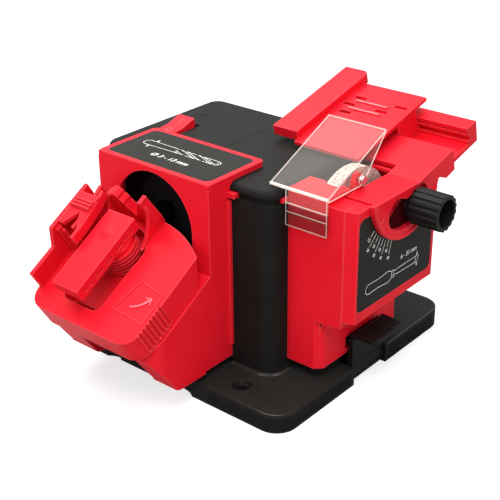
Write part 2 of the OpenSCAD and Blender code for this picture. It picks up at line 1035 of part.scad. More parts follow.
module swing_head()
{
    floor_z = 9;
    chan_x0 = clamp_x - 15;
    chan_x1 = clamp_x + 19;
    side = -head_w / 2;
    ribs = 8;
    color(RED)
    mouth_frame()
    {
        difference()
        {
            intersection()
            {
                union()
                {
                    translate([0, 0, head_gap])
                        linear_extrude(head_h - head_gap)
                            head_plan(0);
                    // Tall left wall
                    slab_x(side, side + wall)
                        polygon([[-61, 8], [-61, 34.5], [-37, 34.5], [-30, gauge_top], [10, gauge_top],
                            [10, 8]]);
                    // Thin curved wall beside the lever
                    translate([0, 0, head_h - 1])
                        linear_extrude(gauge_top - gauge_t - head_h + 0.9)
                            polygon([[-40, 14], [-38, 5], [-35.7, -3], [-35.4, -12], [-35.4, -22.5],
                                [-33, -22.5], [-33, -12], [-33.3, -3], [-35.5, 5], [-37.5, 14]]);
                    // Stepped post where the left wall drops
                    for (p = [[2, -28, 0.1], [4.5, -26, 3]])
                        block([side + wall - 1, p[1], head_h - 1],
                            [side + wall + p[0], -24, gauge_top - gauge_t - p[2]]);
                }
                head_back(90);
            }
            // Pocket for the clamp screw and the channel for the lever
            translate([clamp_x, clamp_u, floor_z])
                cylinder(r = clamp_r + 5, h = 40);
            translate([(chan_x0 + chan_x1) / 2, (clamp_u - 61) / 2, floor_z])
                linear_extrude(head_h - floor_z + 1)
                    round_rect(chan_x1 - chan_x0, clamp_u + 61, 5);
            // Slot in the channel's floor, under the end of the lever
            block([clamp_x - 12, -60, -1], [clamp_x + 5.5, -56, floor_z + 1]);
            translate([clamp_x, clamp_u, -5])
                cylinder(r = 5 + run_fit, h = 20);
            translate([0, head_pivot_u, -5])
                cylinder(r = head_pivot_r, h = 11);
            // Grip grooves down the right wall
            for (i = [0 : ribs - 1])
                block([head_w / 2 - 1.3, -67 + i * 3.5, 1], [head_w / 2 + 2, -65.2 + i * 3.5, head_h + 1]);
            // Hollow under the flat face
            block([14, -62, -1], [head_w / 2 - wall, -12, head_h - wall]);
        }
    }
}

module head_pivot()
{
    color(STEEL)
    mouth_frame()
        translate([0, head_pivot_u, 0])
        {
            translate([0, 0, -7])
                cylinder(r = head_pivot_r, h = 13);
        }
}

module pivot_washer()
{
    color(STEEL)
    mouth_frame()
        translate([0, head_pivot_u, -7])
            difference()
            {
                cylinder(r = 13, h = 3);
                translate([0, 0, -1])
                    cylinder(r = head_pivot_r, h = 5);
            }
}

// A triangular brace beside a jaw, from the flat face up
module jaw_brace(x)
{
    slab_x(x - 1.25, x + 1.25)
        polygon([[jaw_u - 20, head_h], [jaw_u - 14, head_h + 2.5], [jaw_u - 8, head_h + 7],
            [jaw_u - 3, head_h + 13.5], [jaw_u + 1, jaw_top - 3], [jaw_u + 1, head_h]]);
}

module drill_jaws()
{
    half = jaw_w / 2;
    v_bottom = 26;
    color(RED)
    mouth_frame()
    difference()
    {
        union()
        {
            translate([clamp_x - 0.4, 0, 0])
                slab_y(jaw_u, jaw_u + jaw_t)
                    polygon([[-half - 4, head_h], [-half - 4, jaw_top - 5], [-half, jaw_top - 5], [-half,
                        jaw_top - 2.5],
                        [-half + 3, jaw_top - 2.5], [-half + 3, jaw_top], [-11, jaw_top], [-8.6, jaw_top - 2],
                        [-8.6, jaw_top - 4.1], [-5.7, jaw_top - 7], [-5.7, jaw_top - 9.2], [0, v_bottom],
                        [11, jaw_top], [14, jaw_top], [14, jaw_top - 3], [half, v_bottom + 1],
                        [half, head_h]]);
            jaw_brace(clamp_x - half - 3);
            jaw_brace(clamp_x + half - 1.8);
        }
        // The lower left corner clears the front wall as the head swings
        translate([clamp_x - half, jaw_u, head_h - 1])
            linear_extrude(12)
                polygon([[-20, 1.4], [-4, 1.9], [6, 7.5], [6, 20], [-20, 20]]);
    }
}

module length_gauge()
{
    x0 = -head_w / 2 + wall;
    x1 = clamp_x - lever_w / 2 - 2;
    lip = 2.4;
    low = lever_bottom + lever_h + 0.8;
    bar_u = -9.5;
    ridges = 3;
    color(RED)
    mouth_frame()
    {
        // Plate with a V notch
        translate([0, 0, gauge_top - gauge_t])
            linear_extrude(gauge_t)
                polygon([[x0, 3], [x0, -23], [x0 + 4.2, -23], [x0 + 10.8, -10.8], [x1 - 3, -23],
                    [x1 - 1.2, -23], [x1 - 2, -11], [x1 - 4.4, 3]]);
        // Curved lip along the lever
        translate([0, 0, low])
            linear_extrude(gauge_top - low)
                polygon([[x1 - lip - 5, 9], [x1 - lip - 3, 1], [x1 - lip - 1, -11], [x1 - lip, -19],
                    [x1 - lip, -31], [x1, -31], [x1, -19], [x1 - 1, -11], [x1 - 3, 1], [x1 - 5, 9]]);
        // Ridged bar across the plate
        block([x0 + 0.2, bar_u, gauge_top - 1], [x1 - 3.2, 3, gauge_top + 1.4]);
        for (i = [0 : ridges - 1])
            block([x0 + 0.2, bar_u + 0.6 + i * 2.6, gauge_top + 1], [x1 - 3.2, bar_u + 2 + i * 2.6,
                gauge_top + 2.6]);
    }
}

module clamp_screw()
{
    turns = 6;
    pitch = 3;
    color(RED)
    mouth_frame()
        translate([clamp_x, clamp_u, 0])
        {
            translate([0, 0, 3])
                cylinder(r = 5, h = 8);
            translate([0, 0, 9.6])
                cylinder(r = clamp_r - 2, h = lever_bottom - 9.6);
            for (i = [0 : turns - 1])
                translate([0, 0, 10 + i * pitch])
                    cylinder(r = clamp_r, h = pitch * 0.5);
        }
}

module clamp_lever()
{
    bar_len = lever_long + lever_short;
    mid = (lever_short - lever_long) / 2;
    windows = 5;
    color(RED)
    mouth_frame()
        translate([clamp_x, clamp_u, lever_bottom])
            difference()
            {
                translate([0, mid, 0])
                    linear_extrude(lever_h)
                        round_rect(lever_w, bar_len, 0.8);
                translate([0, mid, -1])
                    linear_extrude(lever_h - 1.5)
                        difference()
                        {
                            square([lever_w - 4, bar_len - 4], center = true);
                            translate([0, -mid])
                                circle(clamp_r - 4);
                        }
                for (i = [0 : windows - 1])
                    block([lever_w / 2 - 1, -lever_long + 5 + i * 11, 2.6],
                        [lever_w / 2 + 1, -lever_long + 13 + i * 11, 5.2]);
            }
}

// The space that the table's level part sweeps as it tilts, in Y and Z
module table_sweep()
{
    under = pivot_z - table_z + table_t;
    r = sqrt(pow(pivot_y - table_near, 2) + pow(under, 2)) + 0.8;
    translate([pivot_y, pivot_z])
        intersection()
        {
            circle(r);
            rotate(tilt_max)
                translate([-2 * r, -under - clearance])
                    square(4 * r);
        }
}

module blade_openings()
{
    // The top is open over the wheel and under the table
    block([blade_left - 1, hood_back, blade_top - wall - 1], [guard_x, blade_y1 - wall, blade_top + 10]);
    block([blade_left - 1, hood_back, table_z - table_t - 0.4], [table_x0 - 0.3, blade_y1 + 1,
        blade_top + 10]);
    block([guard_x + wall, table_near - 0.6, blade_top - wall - 0.1],
        [blade_right + 1, blade_y1 + 1, blade_top + 10]);
    slab_x(table_x0 - clearance, blade_right + 1)
        table_sweep();
}

module blade_housing()
{
    tongue = 6;
    color(RED)
    {
        difference()
        {
            union()
            {
                slab_y(blade_y0, blade_y1)
                    polygon([[blade_left, leg_z], [leg_x, leg_z], [leg_x, leg_z + 26], [leg_x + 2,
                        leg_z + 33],
                        [leg_x + 6, leg_z + 37.5], [blade_split, overhang_z - 5], [blade_split, blade_top],
                        [blade_left, blade_top]]);
                // Raised hood in front of the wheel, under the eye shield
                block([blade_left, blade_y0, blade_top - 1], [guard_x + wall, hood_back, hood_top]);
                // Tongues that hook into the groove of the motor body
                for (y = [blade_y0 - tongue, blade_y1 - wall])
                    block([body_right - groove_depth + 0.3, y, groove_z + 0.5],
                        [blade_left + 0.6, y + tongue + wall, groove_z + groove_h - 0.5]);
            }
            slab_y(blade_y0 + wall, blade_y1 - wall)
                polygon([[blade_left - 4, leg_z + wall], [leg_x - wall, leg_z + wall], [leg_x - wall,
                    leg_z + 28],
                    [leg_x - 1, leg_z + 36], [leg_x + 4, leg_z + 41], [blade_split + 1, overhang_z - 1],
                    [blade_split + 1, blade_top - wall], [blade_left - 4, blade_top - wall]]);
            block([blade_left - 4, blade_y0 + wall, blade_top - wall - 1],
                [guard_x, hood_back + 1, hood_top - wall]);
            blade_openings();
            // Relief for the front of the wheel
            rod_x(spindle_y, axle_z, blade_wheel_r + 1, wheel_x - 1.5, wheel_x + blade_wheel_t + 1.5);
            // Chamfers down the leg
            for (y = [blade_y0, blade_y1])
                translate([leg_x, y, leg_z - 1])
                    rotate([0, 0, 45])
                        cube([leg_chamfer * sqrt(2), leg_chamfer * sqrt(2), 2 * (overhang_z - leg_z - 6)],
                            center = true);
            // Catch for the release latch
            block([leg_x - 2.6, latch_y - latch_w / 2 - 2, 26], [leg_x + 1, latch_y + latch_w / 2 + 2, 36]);
        }
        // Guard wall beside the wheel, with the post of the eye shield
        difference()
        {
            union()
            {
                block([guard_x, blade_y0 + 1, overhang_z - 4],
                    [guard_x + wall, blade_y1 - 1, table_z - table_t - 0.4]);
                block([guard_x, hinge_y - 5, table_z - 10], [guard_x + wall, hinge_y + 5, hinge_z]);
                rod_x(hinge_y, hinge_z, 4, guard_x, guard_x + wall);
            }
            rod_x(spindle_y, axle_z, 17, guard_x - 1, guard_x + wall + 1);
            rod_x(hinge_y, hinge_z, pin_r, guard_x - 1, guard_x + wall + 1);
        }
    }
}

module blade_cover()
{
    nut_boss = 9;
    cover_draft = 2.8;
    color(RED)
    difference()
    {
        union()
        {
            difference()
            {
                translate([0, 0, overhang_z])
                    linear_extrude(blade_top - overhang_z)
                        polygon([[blade_split + eps, blade_y0], [blade_right, blade_y0 + cover_draft],
                            [blade_right, blade_y1], [blade_split + eps, blade_y1]]);
                block([blade_split - 1, blade_y0 + wall + cover_draft / 2, overhang_z + wall],
                    [blade_right - wall, blade_y1 - wall, blade_top - wall]);
            }
            rod_x(bolt_y, bolt_z, nut_boss, blade_split + eps, blade_right - 1);
        }
        blade_openings();
        // Groove that guides the table's arc rib
        slab_x(blade_right - 2.2, blade_right + 1)
            pivot_ring(rib_r0 - clearance, rib_r1 + clearance, 190, 360);
        rod_x(bolt_y, bolt_z, bolt_r + run_fit, blade_split - 1, blade_right + 1);
        translate([blade_split - 1, bolt_y, bolt_z])
            rotate([0, 90, 0])
                cylinder(r = 6.2, h = 5, $fn = 6);
        // Recess for the label
        label_shape(0, 1);
        for (y = [blade_y0 + 10, blade_y1 - 10])
            rod_x(y, overhang_z + 10, 1.8, blade_split - 1, blade_right - 0.5);
    }
}

// Outline of the blade label, cut away under the table's cheek
module label_shape(shrink, over)
{
    z0 = overhang_z + 7;
    z1 = blade_top - 6;
    slab_x(blade_right - 0.4, blade_right + over)
        difference()
        {
            translate([(blade_y0 + blade_y1) / 2 + 0.6, (z0 + z1) / 2])
                round_rect(blade_w - 7.2 - shrink, z1 - z0 - shrink, 5 - shrink / 2);
            translate([pivot_y, pivot_z])
                circle(cheek_r - 0.6 + shrink / 2);
        }
}

module blade_label()
{
    color("#2E2F2D")
        label_shape(0.2, 0);
}

module cover_bolts()
{
    color(STEEL)
        for (y = [blade_y0 + 10, blade_y1 - 10])
            rod_x(y, overhang_z + 10, 1.75, blade_split + 1, blade_right - 0.6);
}

module tilt_table()
{
    color(RED)
    difference()
    {
        union()
        {
            // Level part beside the wheel
            block([table_x0, table_near, table_z - table_t], [cheek_x1, bend_y + 0.5, table_z]);
            // Rising part, clear of the wheel window
            slope_frame()
            {
                block([table_x0, -1, -table_t], [cheek_x1, channel_s0, 0]);
                block([slope_x0, (window_far - bend_y) / cos(table_slope), -table_t], [cheek_x1,
                    channel_s0, 0]);
                block([rail_x0, channel_s0 - 3.5, rail_bottom], [rail_x1, channel_s0, 0]);
                block([rail_x0, channel_s0 - 3.5, rail_bottom], [rail_x1, rail_s1, channel_floor]);
                block([rail_x0, channel_s1, rail_bottom], [rail_x1, rail_s1, 0.8]);
            }
            // Round cheek and skirt outside the cover
            slab_x(cheek_x0, cheek_x1)
            {
                difference()
                {
                    translate([pivot_y, pivot_z])
                        circle(cheek_r);
                    translate([pivot_y - 60, table_z])
                        square([120, 60]);
                }
                polygon([slope_point(-6, -8), slope_point(0, 0), slope_point(channel_s0, 0),
                    slope_point(channel_s0, -16), slope_point(31.7, -16.4), slope_point(23.5, -10.7)]);
            }
            slab_x(blade_right - 1.8, cheek_x0 + 0.5)
                pivot_ring(rib_r0, rib_r1, 242, 300);
            // Raised edge of the cheek
            slab_x(cheek_x1 - 0.5, cheek_x1 + 0.7)
                difference()
                {
                    pivot_ring(cheek_r - 2.4, cheek_r - 0.3, 188, 338);
                    translate([pivot_y - 60, table_z - 1])
                        square([120, 60]);
                }
        }
        // Undercut of the rail
        slope_frame()
        {
            block([rail_x0 - 1, channel_s1 - 1, -9], [cheek_x1 + 1, channel_s1 + 3, -5]);
            block([rail_x0 - 1, channel_s1 - 1, -3.4], [cheek_x1 + 1, channel_s1 + 1, -1.8]);
        }
        // Arc slot for the lock bolt
        slab_x(cheek_x0 - 0.1, cheek_x1 + 1)
        {
            pivot_ring(slot_r - slot_half, slot_r + slot_half, slot_from, slot_to);
            for (a = [slot_from, slot_to])
                translate([pivot_y + slot_r * cos(a), pivot_z + slot_r * sin(a)])
                    circle(slot_half);
        }
    }
}

module lock_bolt()
{
    color(STEEL)
        rod_x(bolt_y, bolt_z, bolt_r, blade_split + 0.5, knob_x + knob_len - 10);
}

module lock_nut()
{
    color(STEEL)
    difference()
    {
        translate([blade_split + 0.5, bolt_y, bolt_z])
            rotate([0, 90, 0])
                cylinder(r = 6, h = 3.2, $fn = 6);
        rod_x(bolt_y, bolt_z, bolt_r + run_fit, blade_split - 1, blade_split + 5);
    }
}

module lock_washer()
{
    color(STEEL)
    difference()
    {
        rod_x(bolt_y, bolt_z, 8, blade_right + 0.1, blade_right + 0.9);
        rod_x(bolt_y, bolt_z, bolt_r + run_fit, blade_right - 1, blade_right + 2);
    }
}

module lock_knob()
{
    flutes = 16;
    collar_x = blade_right + 1.2;
    color(BLACK)
    difference()
    {
        union()
        {
            rod_x(bolt_y, bolt_z, 8.6, collar_x, knob_x + 1);
            rod_x(bolt_y, bolt_z, knob_r, knob_x, knob_x + knob_len);
        }
        rod_x(bolt_y, bolt_z, knob_r - 3, knob_x + knob_len - 12, knob_x + knob_len + 1);
        for (i = [0 : flutes - 1])
            translate([knob_x - 1, bolt_y, bolt_z])
                rotate([i * 360 / flutes, 0, 0])
                    translate([0, 0, knob_r + 0.7])
                        rotate([0, 90, 0])
                            cylinder(r = 1.6, h = knob_len + 2, $fn = 24);
        rod_x(bolt_y, bolt_z, bolt_r, collar_x - 1, knob_x + knob_len - 10);
    }
}

plate_x1 = plate_x0 + plate_w;
fence_s0 = -2.3;
fence_s1 = 87;

module slide_shoe()
{
    x1 = plate_x1 - 0.5;
    color(RED)
    slope_frame()
    {
        block([x1 - shoe_len, channel_s0 + 0.5, channel_floor + 0.5], [x1, channel_s1 - 0.5, plate_t0]);
        block([x1 - shoe_len, channel_s1 - 1, -8.6], [x1, channel_s1 + 2.5, -5.4]);
    }
}

module carriage_plate()
{
    color(RED)
    slope_frame()
        difference()
        {
            union()
            {
                block([plate_x0, plate_s0, plate_t0], [plate_x1, plate_s0 + plate_len, plate_t0 + plate_t]);
                // Two bright ridges that the blade slides on
                for (s = [45.4, 55.5])
                    block([plate_x0 + 9.5, s, plate_t0 + 1], [plate_x0 + 36, s + 1.4,
                        plate_t0 + plate_t + 0.7]);
            }
            for (p = [[4.9, 59], [1.6, 48.9], [4.8, 38.8], [28.8, 48.9], [39, 58.8]])
                translate([plate_x0 + p[0], p[1], plate_t0 - 1])
                    cube([10, 3.4, plate_t + 3]);
        }
}

module fence_bar()
{
    color(RED)
    slope_frame()
        difference()
        {
            // The far end is cut at an angle
            translate([0, 0, plate_t0 + 0.8])
                linear_extrude(fence_t)
                    polygon([[plate_x0 - fence_w, fence_s0], [plate_x0, fence_s0], [plate_x0, fence_s1 - 3],
                        [plate_x0 - 3, fence_s1], [plate_x0 - fence_w, fence_s1]]);
            block([plate_x0 - fence_w + wall, fence_s0 + wall, plate_t0],
                [plate_x0 - wall, fence_s1 - wall - 2, plate_t0 + fence_t - wall]);
        }
}

module shield_pin()
{
    color(STEEL)
    {
        rod_x(hinge_y, hinge_z, pin_r, guard_x - 0.5, shield_x1 + 0.4);
        rod_x(hinge_y, hinge_z, pin_r + 1.2, shield_x1 + 0.4, shield_x1 + 1.6);
    }
}

module eye_shield()
{
    x0 = shield_x1 - shield_w;
    run = shield_y1 - shield_y0;
    rise = run * tan(shield_slope);
    t = shield_t / cos(shield_slope);
    skirt_x0 = blade_left + 1.2;
    color("#DCE6EA", 0.35)
    difference()
    {
        union()
        {
            slab_x(x0, shield_x1)
                polygon([[shield_y0, shield_z0 - t], [shield_y1, shield_z0 + rise - t],
                    [shield_y1, shield_z0 + rise], [shield_y0, shield_z0]]);
            // Front skirt with two ridges
            block([skirt_x0, shield_y0, skirt_z], [shield_x1 - 1, shield_y0 + shield_t, shield_z0 - 0.4]);
            for (z = [9.5, 15.5])
                block([skirt_x0, shield_y0 - 0.8, skirt_z + z], [shield_x1 - 1, shield_y0 + 0.5,
                    skirt_z + z + 1.2]);
            // Side cheek with its ear
            slab_x(shield_x1 - shield_t, shield_x1)
                polygon([[shield_y0, hood_top - 0.3], [hinge_y + 4, hood_top - 0.3], [hinge_y + 4, hinge_z],
                    [shield_y1, shield_z0 + rise - 0.4], [shield_y0, shield_z0 - 0.4]]);
            rod_x(hinge_y, hinge_z, 4, shield_x1 - shield_t, shield_x1);
        }
        rod_x(hinge_y, hinge_z, pin_r + run_fit, shield_x1 - shield_t - 1, shield_x1 + 1);
    }
}

module latch_pins()
{
    reach = gap_w / 2 + 4;
    color(STEEL)
    {
        rod_y(latch_pin_x, latch_pin_z, pin_r, latch_y - reach, latch_y + reach);
        rod_x(front_pin_y, latch_pin_z, pin_r, drill_x - reach, drill_x + reach);
    }
}

module blade_latch()
{
    pad_z = 39.5;
    pad_t = 3;
    foot = 1.5;
    face_x = latch_pin_x + 3;
    pad_x = face_x + 18.5;
    grooves = 5;
    color(BLACK)
    difference()
    {
        intersection()
        {
            union()
            {
                // Upright plate with a thin finger pad on top and the hook behind
                slab_y(latch_y - latch_w / 2, latch_y + latch_w / 2)
                    polygon([[latch_pin_x - 2, foot], [face_x, foot], [face_x, pad_z - pad_t - 2],
                        [face_x + 2, pad_z - pad_t], [pad_x, pad_z - pad_t], [pad_x, pad_z - 1],
                        [pad_x - 1, pad_z],
                        [latch_pin_x + 2.5, pad_z], [latch_pin_x + 0.5, pad_z - 2.5],
                        [latch_pin_x + 0.5, 34.5], [leg_x - 1.8, 33.5], [leg_x - 1.8, 30],
                        [latch_pin_x + 0.5, 28.5], [latch_pin_x - 2, 18]]);
                rod_y(latch_pin_x, latch_pin_z, 4, latch_y - latch_w / 2, latch_y + latch_w / 2);
            }
            translate([pad_x - base_w / 2, latch_y, 0])
                linear_extrude(pad_z + 1)
                    round_rect(base_w, latch_w, 3.5);
        }
        rod_y(latch_pin_x, latch_pin_z, pin_r + run_fit, latch_y - latch_w, latch_y + latch_w);
        for (i = [0 : grooves - 1])
            block([face_x + 2.5 + i * 2.8, latch_y - latch_w / 2 + 2, pad_z - 1.2],
                [face_x + 3.9 + i * 2.8, latch_y + latch_w / 2 - 2, pad_z + 1]);
    }
}

module drill_latch()
{
    tip = front_pin_y - 20;
    color(BLACK)
    difference()
    {
        union()
        {
            slab_x(drill_x - front_latch_w / 2, drill_x + front_latch_w / 2)
                polygon([[front_pin_y + 3, 5], [front_pin_y + 3, base_h - 2], [front_pin_y - 4, base_h + 1],
                    [tip, base_h + 1], [tip, base_h - 3], [front_pin_y - 3, 5]]);
            // Hook that reaches over the drill unit's floor
            slab_x(drill_x - front_latch_w / 2, drill_x + front_latch_w / 2)
                polygon([[front_pin_y - 1.2, 10], [front_pin_y - 1.2, belly_z + 8], [front_pin_y + 1,
                    belly_z + 8],
                    [front_pin_y + 4, belly_z + 6.4], [front_pin_y + 4, belly_z + 5.7],
                    [front_pin_y + 1.8, belly_z + 5.7], [front_pin_y + 1.8, 10]]);
            rod_x(front_pin_y, latch_pin_z, 4, drill_x - front_latch_w / 2, drill_x + front_latch_w / 2);
        }
        rod_x(front_pin_y, latch_pin_z, pin_r + run_fit, drill_x - latch_w, drill_x + latch_w);
        for (i = [0 : 3])
            block([drill_x - front_latch_w / 2 + 2, tip + 3 + i * 3.2, base_h],
                [drill_x + front_latch_w / 2 - 2, tip + 4.6 + i * 3.2, base_h + 2]);
    }
}

base_plate();
base_cover();
rubber_feet();
cover_screws();
housing_left();
housing_right();
housing_screws();
cord_gland();
switch_body();
switch_rocker();
motor_cradle();
stator();
field_coils();
brush_holders();
motor_bearings();
motor_shaft();
armature();
commutator();
cooling_fan();
drive_bevel();
drill_wheel();
drill_wheel_nut();
spindle_cradle();
spindle_bearings();
blade_spindle();
driven_bevel();
wheel_flange();
blade_wheel();
blade_wheel_nut();
drill_housing();
drill_label();
swing_head();
head_pivot();
pivot_washer();
drill_jaws();
length_gauge();
clamp_screw();
clamp_lever();
blade_housing();
blade_cover();
blade_label();
cover_bolts();
tilt_table();
lock_bolt();
lock_nut();
lock_washer();
lock_knob();
slide_shoe();
carriage_plate();
fence_bar();
shield_pin();
eye_shield();
latch_pins();
blade_latch();
drill_latch();
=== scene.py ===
"""Looks of a red and black bench sharpener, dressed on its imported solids. Metres, in the part's own
frame."""
import json
import math

import bpy
import numpy as np
from mathutils import Matrix


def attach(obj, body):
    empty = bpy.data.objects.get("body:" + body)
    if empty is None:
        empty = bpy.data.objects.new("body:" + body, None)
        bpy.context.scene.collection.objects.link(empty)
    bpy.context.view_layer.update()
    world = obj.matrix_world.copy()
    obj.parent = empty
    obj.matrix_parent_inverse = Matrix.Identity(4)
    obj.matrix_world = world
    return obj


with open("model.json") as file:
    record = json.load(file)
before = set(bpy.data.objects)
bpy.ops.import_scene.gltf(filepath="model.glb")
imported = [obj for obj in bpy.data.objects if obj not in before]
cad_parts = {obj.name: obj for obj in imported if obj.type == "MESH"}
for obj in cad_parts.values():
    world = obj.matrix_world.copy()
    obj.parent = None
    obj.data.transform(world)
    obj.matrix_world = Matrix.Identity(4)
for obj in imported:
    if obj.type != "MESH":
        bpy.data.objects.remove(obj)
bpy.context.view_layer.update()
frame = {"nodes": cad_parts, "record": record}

MM = 0.001
# Places that several pieces share, in millimetres.
BASE_HALF = 100.0                           # half of the square base
BODY_TOP = 150.3                            # top of the motor body
CAP_LABEL = 154.6                           # height of the label's face on the drill unit's cap
COVER_LABEL = 117.2                         # X of the label's face on the blade unit's cover
TILT_AXIS = np.array([4.0, 152.0])          # Y and Z of the axis that the table tilts about
MOUTH = np.array([-20.4, -86.4, 90.0])      # middle of the drill unit's slanted mouth
MOUTH_LEAN = math.radians(31)               # its lean about X, which the head and its lever share
MOUTH_UP = np.array([0, math.cos(MOUTH_LEAN), math.sin(MOUTH_LEAN)])
MOUTH_OUT = np.array([0, -math.sin(MOUTH_LEAN), math.cos(MOUTH_LEAN)])
PRINT_LIFT = 0.05                           # how far printing stands off its face
# Sizes in the materials, in millimetres.
DRIFT = 45                                  # over which a moulded colour wanders
RIB_RISE = 0.22                             # height of the moulded ribs
EDGE_HIGHLIGHT_REACH = 0.9                             # how far in from an outer edge the painted highlight reaches
HAZE = 12                                   # patches of handling haze on clear sheet
# Colour sockets of a Mix node, which share their names with its other sockets.
MIX_A, MIX_B, MIX_OUT = 6, 7, 2
nodes = frame["nodes"]
scene = bpy.context.scene
scene.view_settings.view_transform = "Standard"


def linear(hex_code):
    """An sRGB hex code as linear RGBA, by the sRGB curve's two branches."""
    c = np.array([int(hex_code[i:i + 2], 16) for i in (1, 3, 5)]) / 255.0
    low = c / 12.92
    high = ((c + 0.055) / 1.055) ** 2.4
    return tuple(float(v) for v in np.where(c <= 0.04045, low, high)) + (1.0,)


def add(tree, kind, inputs=None, **settings):
    """Adds one node; an input is a socket to link from, or a constant."""
    made = tree.nodes.new(kind)
    for key, value in settings.items():
        setattr(made, key, value)
    for key, value in (inputs or {}).items():
        if isinstance(value, bpy.types.NodeSocket):
            tree.links.new(value, made.inputs[key])
        else:
            made.inputs[key].default_value = value
    return made


def new_material(name):
    """An empty node material with its output node."""
    m = bpy.data.materials.new(name)
    m.use_nodes = True
    m.node_tree.nodes.clear()
    return m, m.node_tree, m.node_tree.nodes.new("ShaderNodeOutputMaterial")


def per_mm(size):
    """Noise scale, in cycles per metre of Object coordinates, for a feature of that size in
    millimetres."""
    return 1.0 / (size * MM)


def moulded(name, dark, light, rough, grain, depth, spread, shine, edge=0.6, ribs=0.0, edge_highlight_tone=None):
    """Moulded plastic: colour drifts slowly between two close tones, roughness wanders, a grain of the
    given size (mm) raises the surface by depth (mm), and edges are rounded by edge (mm) where light
    catches them. ribs is the pitch (mm) of upright ribs on the side faces: a sine of the distance along
    the face. The last argument is a paler tone painted on outer edges as a highlight: its share grows as
    more of what lies behind the surface, within the highlight's reach, is open."""
    m, t, out = new_material(name)
    at = add(t, "ShaderNodeTexCoord").outputs["Object"]
    drift = add(t, "ShaderNodeTexNoise", {"Vector": at, "Scale": per_mm(DRIFT), "Detail": 3.0})
    ramp = add(t, "ShaderNodeValToRGB", {"Fac": drift.outputs["Fac"]})
    for stop, share, shade in zip(ramp.color_ramp.elements, (0.3, 0.7), (dark, light)):
        stop.position = share
        stop.color = linear(shade)
    tone = ramp.outputs["Color"]
    # A paler tone painted on outer edges as a highlight, where the inward occlusion finds an edge near.
    if edge_highlight_tone:
        inward = add(t, "ShaderNodeAmbientOcclusion", {"Distance": EDGE_HIGHLIGHT_REACH * MM}, inside=True,
                     only_local=True, samples=8)
        edge_highlight = add(t, "ShaderNodeMapRange", {"Value": inward.outputs["AO"], "From Min": 0.92,
                                            "From Max": 0.55, "To Min": 0.0, "To Max": 0.24})
        tone = add(t, "ShaderNodeMix", {"Factor": edge_highlight.outputs["Result"], MIX_A: tone,
                                        MIX_B: linear(edge_highlight_tone)}, data_type="RGBA").outputs[MIX_OUT]
    fine = add(t, "ShaderNodeTexNoise", {"Vector": at, "Scale": per_mm(grain), "Detail": 2.0})
    gloss = add(t, "ShaderNodeMapRange", {"Value": fine.outputs["Fac"], "From Min": 0.3, "From Max": 0.7,
                                          "To Min": rough - spread, "To Max": rough + spread})
    round_off = add(t, "ShaderNodeBevel", {"Radius": edge * MM}, samples=6)
    bump = add(t, "ShaderNodeBump", {"Height": fine.outputs["Fac"], "Strength": 0.6,
                                     "Distance": depth * MM, "Normal": round_off.outputs["Normal"]})
    face = bump.outputs["Normal"]
    if ribs:
        place = add(t, "ShaderNodeSeparateXYZ", {"Vector": at})
        outward = add(t, "ShaderNodeNewGeometry").outputs["Normal"]
        way = add(t, "ShaderNodeSeparateXYZ", {"Vector": outward})
        across = add(t, "ShaderNodeMath", {0: way.outputs["X"]}, operation="ABSOLUTE")
        side = add(t, "ShaderNodeMath", {0: across.outputs[0], 1: 0.7}, operation="GREATER_THAN")
        along = add(t, "ShaderNodeMix", {"Factor": side.outputs[0], "A": place.outputs["X"],
                                         "B": place.outputs["Y"]})
        turn = add(t, "ShaderNodeMath", {0: along.outputs["Result"], 1: 2 * math.pi / (ribs * MM)},
                   operation="MULTIPLY")
        wave = add(t, "ShaderNodeMath", {0: turn.outputs[0]}, operation="SINE")
        rise = add(t, "ShaderNodeMath", {0: way.outputs["Z"]}, operation="ABSOLUTE")
        upright = add(t, "ShaderNodeMath", {0: rise.outputs[0], 1: 0.3}, operation="LESS_THAN")
        height = add(t, "ShaderNodeMath", {0: wave.outputs[0], 1: upright.outputs[0]},
                     operation="MULTIPLY")
        face = add(t, "ShaderNodeBump", {"Height": height.outputs[0], "Strength": 1.0,
                                         "Distance": RIB_RISE * MM, "Normal": face}).outputs["Normal"]
    skin = add(t, "ShaderNodeBsdfPrincipled", {"Base Color": tone, "Roughness": gloss.outputs["Result"],
                                               "Normal": face, "Specular IOR Level": shine})
    t.links.new(skin.outputs["BSDF"], out.inputs["Surface"])
    return m


def metal(name, tint, rough, grain):
    """Bare metal: an even tint with machining marks that turn the roughness up and down. The marks are
    drawn about a millimetre across, coarser than real ones, so that they show."""
    m, t, out = new_material(name)
    at = add(t, "ShaderNodeTexCoord").outputs["Object"]
    marks = add(t, "ShaderNodeTexNoise", {"Vector": at, "Scale": per_mm(grain), "Detail": 4.0})
    gloss = add(t, "ShaderNodeMapRange", {"Value": marks.outputs["Fac"], "To Min": rough - 0.1,
                                          "To Max": rough + 0.15})
    round_off = add(t, "ShaderNodeBevel", {"Radius": 0.25 * MM}, samples=4)
    skin = add(t, "ShaderNodeBsdfPrincipled", {"Base Color": linear(tint), "Metallic": 1.0,
                                               "Roughness": gloss.outputs["Result"],
                                               "Normal": round_off.outputs["Normal"]})
    t.links.new(skin.outputs["BSDF"], out.inputs["Surface"])
    return m


def abrasive(name, dark, light, grit, depth):
    """Bonded abrasive: grains of two tones from cells of the grit size (mm), each a little bump."""
    m, t, out = new_material(name)
    at = add(t, "ShaderNodeTexCoord").outputs["Object"]
    cells = add(t, "ShaderNodeTexVoronoi", {"Vector": at, "Scale": per_mm(grit)})
    ramp = add(t, "ShaderNodeValToRGB", {"Fac": cells.outputs["Color"]})
    for stop, share, shade in zip(ramp.color_ramp.elements, (0.2, 0.6), (dark, light)):
        stop.position = share
        stop.color = linear(shade)
    bump = add(t, "ShaderNodeBump", {"Height": cells.outputs["Distance"], "Strength": 0.7,
                                     "Distance": depth * MM})
    skin = add(t, "ShaderNodeBsdfPrincipled", {"Base Color": ramp.outputs["Color"], "Roughness": 0.9,
                                               "Normal": bump.outputs["Normal"],
                                               "Specular IOR Level": 0.1})
    t.links.new(skin.outputs["BSDF"], out.inputs["Surface"])
    return m


